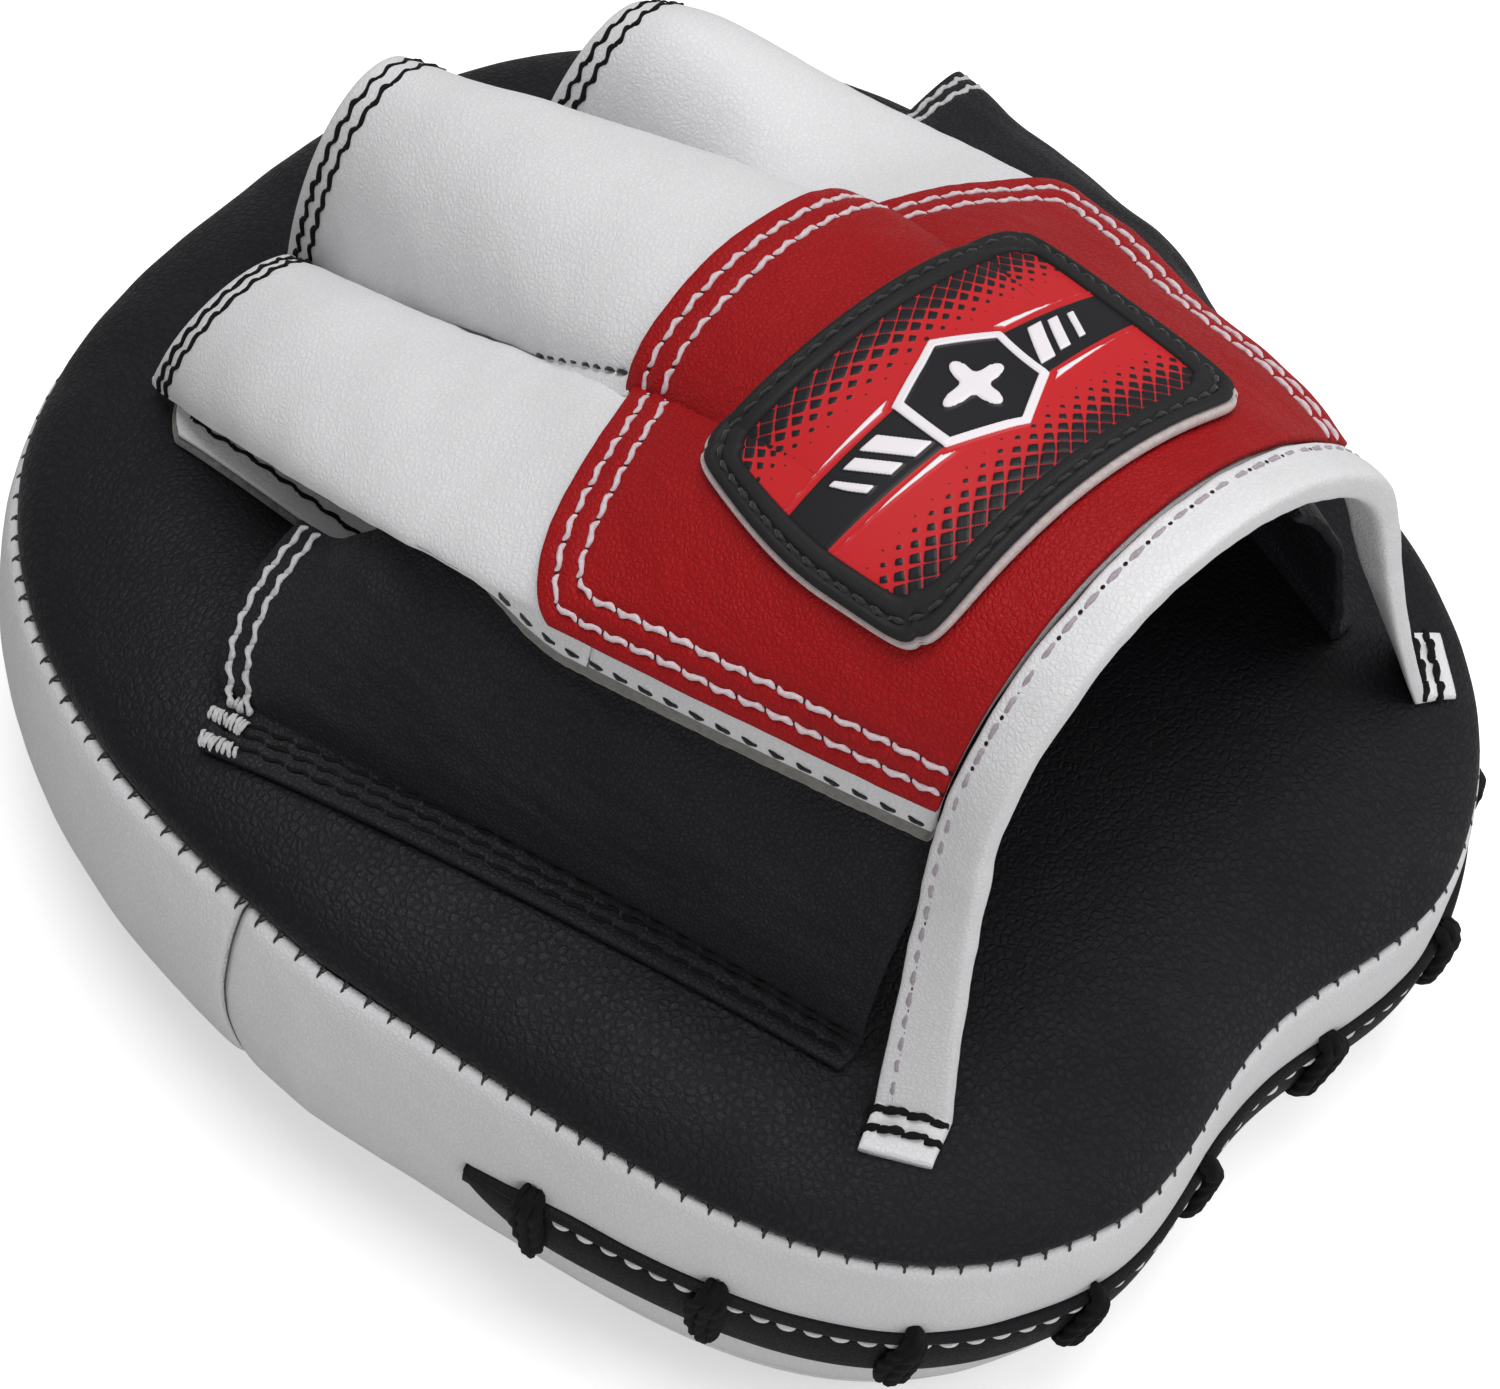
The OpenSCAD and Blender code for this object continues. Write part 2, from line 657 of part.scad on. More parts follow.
// One black side sleeve: a flange on the back panel, then a wall up to under the white strip
function side_grid(side) =
    [for (i = [0:side_rows])
        let (t = i / side_rows, back_y = cuff_y + (side > 0 ? leg_stagger : 0),
             y = mix(flange_front_y, -back_y, t),
             x = mix(flange_front_x - (side > 0 ? flange_even : 0), flange_back_x, t),
             lift = layer_gap + sleeve_leather, fold = mix(flange_width, flange_end, t),
             inner_x = x - fold, inner_y = y + flange_turn * (1 - t),
             f0 = [x, y, base_z(side * x, y) + lift],
             f1 = [inner_x, inner_y, base_z(side * inner_x, inner_y) + lift],
             gy = mix(side_hem_top_y, -cuff_y, t),
             inside = ease(clamp((side_tuck_start - gy) / (side_tuck_start - side_tuck_end), 0, 1)),
             high = ease(clamp((side_tuck_end - gy) / side_top_blend, 0, 1)),
             up = [edge_x(gy) + mix(side_top_out, -side_top_in, inside), gy,
                   edge_z(gy) - mix(side_top_drop, side_top_rise, high)],
             knee = [f1[0] - side_knee_in * (f1[0] - up[0]), up[1], mix(f1[2], up[2], side_knee_up)])
        [for (p = concat([f0], [for (u = [0:0.2:1])
                f1 * pow(1 - u, 2) + knee * 2 * u * (1 - u) + up * pow(u, 2)]))
            [side * p[0], p[1], p[2]]]];

module thumb_sleeve()
    color("#1c1c1e") between(side_grid(-1), lifted(side_grid(-1), -sleeve_leather));

module little_finger_sleeve()
    color("#1c1c1e") between(lifted(side_grid(1), sleeve_leather), side_grid(1));

// ---- The cuff --------------------------------------------------------------------------------

// How far the binding stands out from the compartment's outer face and in from it
binding_lip = 0.5;
binding_out = layer_gap + panel_leather + binding_lip;
binding_in = 3;
leg_steps = 6;
// Where a leg's curve bends, between the arch and the foot, out and up
leg_knee_out = 0.35;
leg_knee_up = 0.5;

// Path of the binding: the arch over the wrist, then on each side a leg down to the back panel and
// a tab that lies on it
function binding_path(y, out, flare) =
    let (arch = [for (k = [-across:across])
             let (p = hand_point(-cuff_y, k / across),
                  d = unit([p[0], 0, p[2] - edge_z(-cuff_y) + arch_centre_drop]))
             [p[0] + d[0] * out, y, p[2] + d[2] * out]])
    concat(leg(-1, y, y - leg_rake + leg_stagger / 2 - flare, out, arch[0]), arch,
           reversed(leg(1, y, y - leg_rake - leg_stagger / 2 - flare, out, arch[len(arch) - 1])));
function reversed(list) = [for (i = [len(list) - 1:-1:0]) list[i]];
// Depth below the cover's edges of the point that the binding's faces turn about
arch_centre_drop = 10;

// One leg, from the end of its tab up to the arch
function leg(side, y, foot_y, out, top) =
    let (x = side * (leg_x + out) + leg_shift, end_x = side * (leg_x + tab_length) + leg_shift,
         height = layer_gap + (out > 0 ? tab_t : 0),
         base = [x, foot_y, base_z(x, foot_y) + height],
         knee = [mix(top[0], x, leg_knee_out), y, mix(base[2], top[2], leg_knee_up)],
         end_y = foot_y - tab_rake)
    concat([[end_x, end_y, base_z(end_x, end_y) + height + layer_gap]],
           [for (i = [0:leg_steps - 1]) let (u = i / leg_steps)
                base * pow(1 - u, 2) + knee * 2 * u * (1 - u) + top * pow(u, 2)]);
tab_t = 3;
// How far the end of a tab lies behind its leg's foot
tab_rake = 2;

module cuff_binding() {
    front = -cuff_y - layer_gap;
    back = front - binding_width;
    color("white")
        between([binding_path(front, binding_out, 0), binding_path(back, binding_out, foot_flare)],
                [binding_path(front, -binding_in, 0), binding_path(back, -binding_in, foot_flare)]);
}

// ---- The badge -------------------------------------------------------------------------------

badge_steps = 8;

// Grid over the knuckle panel, a and b running from -1 to 1 over a size
function badge_grid(w, l, height) =
    let (base = [for (i = [0:badge_steps]) [for (j = [0:badge_steps])
        let (a = 2 * i / badge_steps - 1, b = 2 * j / badge_steps - 1,
             m = squircle(a, b, w + b * badge_taper / 2, l), x = m[0], y = m[1],
             turned = [x * cos(badge_turn) + y * sin(badge_turn) + badge_x,
                       -x * sin(badge_turn) + y * cos(badge_turn) - badge_y])
        hand_point(turned[1], turned[0] / arc_length(turned[1], sign(turned[0])))]])
    lifted(base, height);

// Length of the arch over the hand from its crown to one edge at y
function arc_length(y, side) =
    norm([edge_x(y) + side * crown_skew, crown_z(y) - edge_z(y)])
    * (1 + pow(PI / 360 * (side < 0 ? thumb_turn : little_turn), 2) / 6);

// Point of a rounded rectangle w by l, for a and b from -1 to 1
function squircle(a, b, w, l) =
    let (k = corner_cut * badge_corner * pow(abs(a * b), corner_sharpness))
    [a * w / 2 - sign(a) * k, b * l / 2 - sign(b) * k];
// Share of its radius that a round corner draws in on each axis: 1 - 1 / sqrt(2)
corner_cut = 0.29;
corner_sharpness = 6;

panel_top = 2 * layer_gap + panel_leather;
module badge_base()
    color("#161617")
        between(badge_grid(badge_width, badge_length, panel_top + layer_gap + badge_t),
                badge_grid(badge_width, badge_length, panel_top + layer_gap));

inner_width = badge_width - 2 * badge_rim_w;
inner_length = badge_length - 2 * badge_rim_w;

cut = 1;

module badge_rim()
    color("#0e0e0f")
        difference() {
            between(badge_grid(badge_width, badge_length, face_low + badge_rim_h),
                    badge_grid(badge_width, badge_length, face_low));
            between(badge_grid(inner_width, inner_length, face_low + badge_rim_h + cut),
                    badge_grid(inner_width, inner_length, face_low - cut));
        }

face_width = inner_width - 2 * layer_gap;
face_length = inner_length - 2 * layer_gap;
face_low = panel_top + 2 * layer_gap + badge_t;

module badge_face()
    color("#c0272d")
        between(badge_grid(face_width, face_length, face_low + badge_rim_h / 2),
                badge_grid(face_width, face_length, face_low));

striking_face();
impact_foam();
shock_sheet();
back_foam();
back_panel();
finger_end_wall();
wrist_end_wall();
upper_slit_tape();
lower_slit_tape();
rim_lace();
on_pad() palm_felt();
on_pad() palm_leather();
on_pad() index_sleeve();
on_pad() middle_sleeve();
on_pad() ring_sleeve();
on_pad() finger_gussets();
on_pad() hand_cover();
on_pad() cover_felt();
on_pad() hand_lining();
on_pad() knuckle_panel();
on_pad() thumb_sleeve();
on_pad() little_finger_sleeve();
on_pad() cuff_binding();
on_pad() badge_base();
on_pad() badge_rim();
on_pad() badge_face();
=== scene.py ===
# %% [markdown]
# # A curved focus mitt
#
# A coach wears this mitt on the hand while a boxer hits the other side. It is a thick curved pad
# with a laced side wall, and on its back a hand compartment: three finger sleeves, a thumb sleeve,
# a little finger sleeve, a knuckle panel with a moulded badge, and an open cuff with a binding.
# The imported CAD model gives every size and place. This lesson dresses it in leather and thread.

# %% Load the frame
from functools import partial

import bpy
import numpy as np
from mathutils import Matrix, Vector, noise


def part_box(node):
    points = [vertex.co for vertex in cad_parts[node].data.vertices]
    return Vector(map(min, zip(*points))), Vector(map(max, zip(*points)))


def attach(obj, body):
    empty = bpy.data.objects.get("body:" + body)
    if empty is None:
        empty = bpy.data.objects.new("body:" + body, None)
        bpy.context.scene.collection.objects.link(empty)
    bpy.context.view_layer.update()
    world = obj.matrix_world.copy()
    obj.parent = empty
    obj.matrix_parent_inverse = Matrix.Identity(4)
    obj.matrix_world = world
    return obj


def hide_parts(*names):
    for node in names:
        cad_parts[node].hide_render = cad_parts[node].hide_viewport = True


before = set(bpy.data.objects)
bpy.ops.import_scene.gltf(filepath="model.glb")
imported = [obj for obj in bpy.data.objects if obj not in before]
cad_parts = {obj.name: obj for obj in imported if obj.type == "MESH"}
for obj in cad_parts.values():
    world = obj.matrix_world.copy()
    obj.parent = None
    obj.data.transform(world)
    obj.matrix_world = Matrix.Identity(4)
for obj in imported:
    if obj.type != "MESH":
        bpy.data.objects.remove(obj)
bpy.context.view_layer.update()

mm = 0.001

# %% [markdown]
# ## Small tools
#
# A sewn leather piece is a bent sheet, so most pieces here start as a grid of points. NumPy holds
# the grid, because it moves thousands of points in one line. A modelled curve or a sculpt would
# also do, but a grid keeps each piece tied to the sizes of the pad below it.

# %% Tools for numbers and grids
def mix(a, b, t):
    return a * (1 - t) + b * t


def ease(t):
    t = np.clip(t, 0, 1)
    return t * t * (3 - 2 * t)


def bump_at(d, centre, width):
    """1 where d is at the centre, falling smoothly to 0 over a few widths."""
    return np.exp(-((d - centre) / width) ** 2)


def unit(v):
    return v / np.maximum(np.linalg.norm(v, axis=-1, keepdims=True), 1e-12)


def grid_normals(grid):
    """Normals of a grid of points, pointing along rows x columns."""
    return unit(np.cross(np.gradient(grid, axis=0), np.gradient(grid, axis=1)))


def drift(points, size, seed=0.0):
    """Smooth noise from about -1 to 1 at each point, with hills of the given size."""
    flat = points.reshape(-1, 3) / size + seed * 7.3
    return np.array([noise.noise(Vector(p)) for p in flat]).reshape(points.shape[:-1])


def lengths(path):
    """Distance along a path to each of its points."""
    return np.concatenate([[0], np.cumsum(np.linalg.norm(np.diff(path, axis=0), axis=1))])


print("number tools are ready")


# %% Tools for meshes
def piece(name, points, faces, material, slot, place=None, node=None):
    """A smooth mesh object on the root body with its finish, hiding the CAD node it replaces; the
    slot is not used.
    """
    points = np.asarray(points).reshape(-1, 3)
    points = place(points) if place else points
    mesh = bpy.data.meshes.new(name)
    mesh.from_pydata(points.tolist(), [], [list(f) for f in faces])
    mesh.validate()
    mesh.shade_smooth()
    mesh.materials.append(material)
    obj = bpy.data.objects.new(name, mesh)
    bpy.context.scene.collection.objects.link(obj)
    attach(obj, "root")
    if node:
        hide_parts(node)
    return obj


def grid_faces(rows, columns, start=0, loop=False):
    """Quads of a grid of points, whose last column joins the first one in a loop."""
    i, j = np.meshgrid(np.arange(rows - 1), np.arange(columns - (not loop)), indexing="ij")
    low, high, k = i * columns, (i + 1) * columns, (j + 1) % columns
    return np.stack([low + j, high + j, high + k, low + k], -1).reshape(-1, 4) + start


def border(rows, columns):
    """Numbers of a grid's border points, once round."""
    n = np.arange(rows * columns).reshape(rows, columns)
    return np.concatenate([n[0, :-1], n[:-1, -1], n[-1, :0:-1], n[:0:-1, 0]])


def leather_sheet(name, outer, thickness, material, slot, normals=None, **more):
    """A sheet whose outer face is the grid, with a rounded cut edge."""
    rows, columns = outer.shape[:2]
    n = grid_normals(outer) if normals is None else normals
    inner = outer - n * np.asarray(thickness)[..., None]
    top, low = outer.reshape(-1, 3), inner.reshape(-1, 3)
    ring = border(rows, columns)
    middle = (top[ring] + low[ring]) / 2
    half = (top[ring] - low[ring]) / 2
    along = unit(np.roll(middle, -1, 0) - np.roll(middle, 1, 0))
    out = unit(np.cross(along, unit(half)))
    if np.mean(np.sum(out * (middle - top.mean(0)), -1)) < 0:
        out = -out
    size = np.linalg.norm(half, axis=1)[:, None]
    turns = np.radians([50, 0, -50])
    rings = [middle + half * np.sin(t) + out * size * np.cos(t) * 0.5 for t in turns]
    count, m = len(top), len(ring)
    faces = list(grid_faces(rows, columns))
    faces += [f[::-1] for f in grid_faces(rows, columns, count)]
    loops = [ring] + [2 * count + k * m + np.arange(m) for k in range(3)] + [ring + count]
    for a, b in zip(loops[:-1], loops[1:]):
        faces += [(a[i], a[(i + 1) % m], b[(i + 1) % m], b[i]) for i in range(m)]
    return piece(name, np.concatenate([top, low] + rings), faces, material, slot, **more)


def tube_faces(rings, sides, first=-1):
    """Faces of rings joined in a row and a cap at each end, the first one turned back by -1."""
    caps = [range(sides)[::first], range((rings - 1) * sides, rings * sides)[::-first]]
    return grid_faces(rings, sides, loop=True).tolist() + [tuple(cap) for cap in caps]


print("mesh tools are ready")

# %% [markdown]
# ## The pad's own shape
#
# The outline is nearly an ellipse at the finger end and a squarer curve with a shallow dip at the
# wrist end. The same few functions give the back seam, the puffed back and the side wall, and their
# sizes are read from the CAD nodes, so the leather lies exactly where the solids are.

# %% Sizes of the pad
cover_leather, face_leather, layer_gap = 1.8 * mm, 2.4 * mm, 0.3 * mm
back_low, back_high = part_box("back_panel")
half_length, half_width = back_high.y, back_high.x
rim_height = back_low.z + cover_leather
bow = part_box("striking_face")[1].z - face_leather
crown = back_high.z - rim_height - bow
widest_y, waist, wrist_dip, dip_half_width = -2 * mm, 4.5 * mm, 8 * mm, 45 * mm
finger_squareness, wrist_squareness, roll_sharpness = 2.5, 2.8, 6
wall_bulge, lace_draw, wall_lean, wrist_extra = 6 * mm, 3 * mm, 0.75, 2.7 * mm
centre = np.array([0, widest_y])
print("rim %.1f, bow %.1f and crown %.1f mm" % (rim_height / mm, bow / mm, crown / mm))


# %% Shape of the pad
def rim(a):
    """Points of the outline at angles from the finger end."""
    s, c = np.sin(a), np.cos(a)
    finger, m = half_length - widest_y, finger_squareness
    wrist, n = half_length + widest_y + wrist_extra, wrist_squareness
    front = ((np.maximum(c, 0) / finger) ** m + (np.abs(s) / half_width) ** m + 1e-30) ** (-1 / m)
    rear = ((np.maximum(-c, 0) / wrist) ** n + (np.abs(s) / half_width) ** n + 1e-30) ** (-1 / n)
    x = rear * s * (1 - waist / half_width * np.sin(np.pi * np.clip(-rear * c / wrist, 0, 1)))
    dip = np.where(np.abs(x) < dip_half_width, np.cos(np.pi / 2 * x / dip_half_width) ** 2, 0)
    y = widest_y + rear * c + wrist_dip * dip
    return np.stack([np.where(c >= 0, front * s, x), np.where(c >= 0, widest_y + front * c, y)], -1)


def seam_z(y):
    return rim_height + bow * (1 - (y / half_length) ** 2)


def crown_at(s):
    return crown * np.sqrt(np.maximum(0, 1 - s ** roll_sharpness))


def back_z(x, y):
    """Height of the back panel over a place."""
    dx, dy = x, y - widest_y
    edge = rim(np.arctan2(dx, dy)) - centre
    return seam_z(y) + crown_at(np.minimum(1, np.hypot(dx, dy) / np.linalg.norm(edge, axis=-1)))


def bulge(a, depth):
    drawn = lace_draw * ease(-np.cos(a) + 0.2)
    return (wall_bulge - drawn) * np.sin(np.pi * np.clip(depth / rim_height, 0, 1)) ** 0.7


def wall_point(a, depth, out):
    """Point of the side wall at an angle, a depth below the back seam and a distance out."""
    a, depth, out = np.broadcast_arrays(a, depth, out)
    p = rim(a)
    d = unit(p - centre)
    lean = -wall_lean * np.maximum(0, depth) * 2 * bow * p[..., 1] / half_length ** 2
    return np.stack([p[..., 0] + d[..., 0] * out, p[..., 1] + d[..., 1] * out + lean,
                     seam_z(p[..., 1]) - depth], -1)


def even_angles(first, last, step):
    """Angles between two, a step of arc apart on the outline."""
    fine = np.linspace(first, last, 2000)
    along = lengths(rim(fine))
    return np.interp(np.linspace(0, along[-1], int(round(along[-1] / step)) + 1), along, fine)


print("outline %.0f mm round" % (lengths(rim(np.linspace(0, 2 * np.pi, 720)))[-1] / mm))

# %% [markdown]
# ## The hand compartment's shape
#
# One surface runs over the fingers and the back of the hand. At the hems it has a ridge for each
# finger with a valley between them, and towards the cuff the ridges melt into a single arch that is
# fuller on the thumb's side. y runs along the hand and v from -1 at the thumb's side to 1.

# %% Sizes of the hand compartment
hem_y, cuff_y = 84 * mm, 84 * mm
seam_top = rim_height + bow
at_hem_knuckle_cuff = dict(
    edge_x=(50, 62, 46), edge_rise=(7, 54, 66), crown_rise=(50, 79, 100),
    valley_x=(17, 25, 17), valley_rise=(6.5, 65, 94))
hand_place, hand_turn = np.array([3, 5.5, 0]) * mm, np.radians(2.3)
crown_skew, valley_fade = 8 * mm, 55 * mm
arch_turn = {-1: np.radians(78), 1: np.radians(25)}
side_swell = {-1: 5 * mm, 1: 3 * mm}
palm_thickness = 3.6 * mm
# The far side sinks by this much, from these places of x, z and y on, over these widths
sunk_by = np.array([2.5, 0, 2.5]) * mm
sunk_from, sunk_over = np.array([20, 75, -80]) * mm, np.array([35, 20, 35]) * mm
print("compartment %.0f mm wide at the knuckles" % (2 * at_hem_knuckle_cuff["edge_x"][1]))


# %% Shape of the hand compartment
def by_side(v, sizes):
    """The size for the thumb's side where v is below 0, and else the other side's."""
    return np.where(v < 0, sizes[-1], sizes[1])


def through(name, y):
    """Smooth curve through a size's three values, at the hems, the knuckles and the cuff."""
    hem, knuckle, cuff = (v * mm for v in at_hem_knuckle_cuff[name])
    return (hem * y * (y + cuff_y) / (hem_y * (hem_y + cuff_y))
            - knuckle * (y - hem_y) * (y + cuff_y) / (hem_y * cuff_y)
            + cuff * (y - hem_y) * y / (cuff_y * (hem_y + cuff_y)))


def on_pad(points):
    """Points of the compartment set on the pad, a little turned."""
    c, s = np.cos(hand_turn), np.sin(hand_turn)
    return points @ np.array([[c, -s, 0], [s, c, 0], [0, 0, 1]]) + hand_place


def settled(points):
    """Points of the compartment on the pad, with the ring finger's side sunk a little."""
    x, y, z = np.moveaxis(np.asarray(points), -1, 0)
    share = 1
    for value, start, width in zip((x, z, y), sunk_from, sunk_over):
        share = share * ease((value - start) / width)
    return on_pad(points - share[..., None] * sunk_by)


def base_z(x, y):
    """Height of the back panel under a place of the compartment."""
    p = on_pad(np.stack(np.broadcast_arrays(x, y, 0.0), -1))
    return back_z(p[..., 0], p[..., 1])


def above(x, y, rise):
    return np.maximum(seam_top + rise, base_z(x, y) + palm_thickness)


def edge_z(y):
    return above(through("edge_x", y), y, through("edge_rise", y))


def valley_z(y):
    return above(through("valley_x", y), y, through("valley_rise", y))


def hand_point(y, v, swell=None):
    """Points of the hand compartment's outer face."""
    y, v = np.broadcast_arrays(np.asarray(y, float), np.asarray(v, float))
    q, side, turn = np.abs(v), np.where(v < 0, -1, 1), by_side(v, arch_turn)
    fade = ease(-y / valley_fade)
    ex, ez = through("edge_x", y), edge_z(y)
    vx, vz = through("valley_x", y), valley_z(y)
    top = seam_top + through("crown_rise", y)
    swell = by_side(v, side_swell) if swell is None else swell
    w = np.pi / 2 * (3 * q - 2)
    inner = q <= 1 / 3
    outer = (1 + np.sin(w)) / 2
    finger_x = np.where(inner, vx * np.sin(1.5 * np.pi * q), mix(vx, ex, outer))
    finger_z = np.where(inner, mix(vz, top, np.cos(1.5 * np.pi * q)),
                        mix(vz, ez, outer) + swell * np.cos(w))
    dome_x = mix(-crown_skew, side * ex, np.sin(turn * q) / np.sin(turn))
    dome_z = mix(ez, top, (np.cos(turn * q) - np.cos(turn)) / (1 - np.cos(turn)))
    return np.stack([mix(side * finger_x, dome_x, fade), y + 0 * v,
                     mix(finger_z, dome_z, fade)], -1)


hand_piece, hand_sheet = partial(piece, place=settled), partial(leather_sheet, place=settled)
print("crown at the cuff %.1f mm high" % (hand_point(-cuff_y, 0)[2] / mm))

# %% [markdown]
# ## Leather, thread and felt
#
# Leather grain is a net of fine creases round small pebbles. It is one node group, because black,
# white and red leather share it at other sizes. Each material keeps its own Principled shader and
# gives the group its own pebble size, so the pad's back looks coarse and the sleeves look fine.

# %% Tools for nodes
def adjust(node, **values):
    """Sets a node's settings and sockets by name, with _ for a space."""
    for name, value in values.items():
        if hasattr(node, name):
            setattr(node, name, value)
        else:
            node.inputs[name.replace("_", " ")].default_value = value
    return node


def add(tree, kind, links=(), **values):
    """A node with its sockets set by name and linked from (socket, output) pairs."""
    made = adjust(tree.nodes.new(kind), **values)
    for name, output in links:
        tree.links.new(output, made.inputs[name])
    return made


def sockets(tree, inputs, outputs):
    """Names the sockets of a node group and returns its two end nodes."""
    for name, value in inputs.items():
        kind = "NodeSocketColor" if isinstance(value, tuple) else "NodeSocketFloat"
        tree.interface.new_socket(name, in_out="INPUT", socket_type=kind).default_value = value
    for name, kind in outputs.items():
        tree.interface.new_socket(name, in_out="OUTPUT", socket_type=kind)
    return tree.nodes.new("NodeGroupInput"), tree.nodes.new("NodeGroupOutput")


def object_place(tree):
    """Object coordinates, so that a pattern keeps its size in metres."""
    return tree.nodes.new("ShaderNodeTexCoord").outputs["Object"]


def maths(tree, operation, a, b=0.0, clamp=False):
    made = add(tree, "ShaderNodeMath", operation=operation, use_clamp=clamp)
    for socket, value in zip(made.inputs, (a, b)):
        if isinstance(value, (int, float)):
            socket.default_value = value
        else:
            tree.links.new(value, socket)
    return made.outputs[0]


def smooth_range(tree, value, low, high, to_low=0.0, to_high=1.0):
    return add(tree, "ShaderNodeMapRange", [("Value", value)], interpolation_type="SMOOTHSTEP",
               From_Min=low, From_Max=high, To_Min=to_low, To_Max=to_high).outputs["Result"]


print("node tools are ready")


# %% Leather grain
def make_leather_grain():
    tree = bpy.data.node_groups.new("leather_grain", "ShaderNodeTree")
    enter, leave = sockets(tree, {"Pebbles per metre": 600.0, "Warp": 0.35},
                           {"Height": "NodeSocketFloat", "Crease": "NodeSocketFloat"})
    place = object_place(tree)
    scale, warp = enter.outputs[:2]
    wander = add(tree, "ShaderNodeTexNoise", [("Vector", place), ("Scale", scale)], Detail=2.0)
    spread = add(tree, "ShaderNodeVectorMath", [("Vector", wander.outputs["Color"])],
                 operation="SCALE")
    tree.links.new(maths(tree, "DIVIDE", warp, scale), spread.inputs["Scale"])
    warped = add(tree, "ShaderNodeVectorMath", [(0, place), (1, spread.outputs[0])],
                 operation="ADD")
    nets, fine_scale = [], maths(tree, "MULTIPLY", scale, 2.3)
    for size, randomness, edge in ((scale, 0.9, 0.28), (fine_scale, 1.0, 0.3)):
        net = add(tree, "ShaderNodeTexVoronoi", [("Vector", warped.outputs[0]), ("Scale", size)],
                  feature="DISTANCE_TO_EDGE", Randomness=randomness)
        nets.append(smooth_range(tree, net.outputs["Distance"], 0.0, edge))
    height = maths(tree, "ADD", maths(tree, "MULTIPLY", nets[0], 0.7),
                   maths(tree, "MULTIPLY", nets[1], 0.3))
    tree.links.new(height, leave.inputs["Height"])
    tree.links.new(maths(tree, "SUBTRACT", 1.0, height, clamp=True), leave.inputs["Crease"])
    return tree


leather_grain = make_leather_grain()
print("leather grain of %d nodes" % len(leather_grain.nodes))


# %% Uneven tone, for hides, felt and rubber
def make_uneven():
    tree = bpy.data.node_groups.new("uneven_tone", "ShaderNodeTree")
    enter, leave = sockets(tree, {"Patches per metre": 60.0, "Amount": 0.1},
                           {"Factor": "NodeSocketFloat", "Patch": "NodeSocketFloat"})
    place = object_place(tree)
    cloud = add(tree, "ShaderNodeTexNoise", [("Vector", place), ("Scale", enter.outputs[0])],
                Detail=5.0, Roughness=0.6)
    patch = smooth_range(tree, cloud.outputs["Fac"], 0.3, 0.7)
    tree.links.new(patch, leave.inputs["Patch"])
    tree.links.new(maths(tree, "SUBTRACT", 1.0, maths(tree, "MULTIPLY", patch, enter.outputs[1])),
                   leave.inputs["Factor"])
    return tree


uneven_tone = make_uneven()
print("uneven tone of %d nodes" % len(uneven_tone.nodes))


# %% Tools for materials
def new_material(name):
    material = bpy.data.materials.new(name)
    material.use_nodes = True
    tree = material.node_tree
    return material, tree, tree.nodes["Principled BSDF"]


def bumpy(tree, shader, height, depth):
    """Gives a shader a relief of a depth in metres."""
    relief = add(tree, "ShaderNodeBump", [("Height", height)], Strength=1.0, Distance=depth)
    tree.links.new(relief.outputs["Normal"], shader.inputs["Normal"])


def tinted(tree, colour, factor):
    """The colour times a factor that changes over the surface."""
    made = add(tree, "ShaderNodeMix", [("B", factor)], data_type="RGBA", blend_type="MULTIPLY",
               Factor=1.0, A=(*colour, 1))
    return made.outputs["Result"]


print("material tools are ready")


# %% Leather of every colour
def leather(name, colour, pebble, depth, roughness, crease_shade, uneven):
    """Leather with pebbles of a size and creases of a depth, in metres, and painted shade in the
    creases.
    """
    material, tree, shader = new_material(name)
    grain = add(tree, "ShaderNodeGroup", node_tree=leather_grain, Pebbles_per_metre=1 / pebble)
    tone = add(tree, "ShaderNodeGroup", node_tree=uneven_tone, Patches_per_metre=45.0,
               Amount=uneven)
    place = object_place(tree)
    pores = add(tree, "ShaderNodeTexNoise", [("Vector", place)], Scale=2.2 / pebble, Detail=4.0)
    folds = add(tree, "ShaderNodeTexNoise", [("Vector", place)], Scale=110.0, Detail=3.0,
                Distortion=0.8)
    # Painted shade: the colour is made darker in the grain's creases.
    dark = maths(tree, "MULTIPLY", grain.outputs["Crease"], crease_shade)
    shade = maths(tree, "MULTIPLY", maths(tree, "SUBTRACT", 1.0, dark), tone.outputs["Factor"])
    tree.links.new(tinted(tree, colour, shade), shader.inputs["Base Color"])
    rough = maths(tree, "ADD", maths(tree, "MULTIPLY", grain.outputs["Crease"], 0.18),
                  maths(tree, "MULTIPLY", tone.outputs["Patch"], 0.1))
    tree.links.new(maths(tree, "ADD", rough, roughness, clamp=True), shader.inputs["Roughness"])
    height = maths(tree, "ADD", grain.outputs["Height"],
                   maths(tree, "MULTIPLY", pores.outputs["Fac"], 0.4))
    height = maths(tree, "ADD", height, maths(tree, "MULTIPLY", folds.outputs["Fac"], 1.6))
    bumpy(tree, shader, height, depth)
    adjust(shader, Specular_IOR_Level=0.2)
    return material


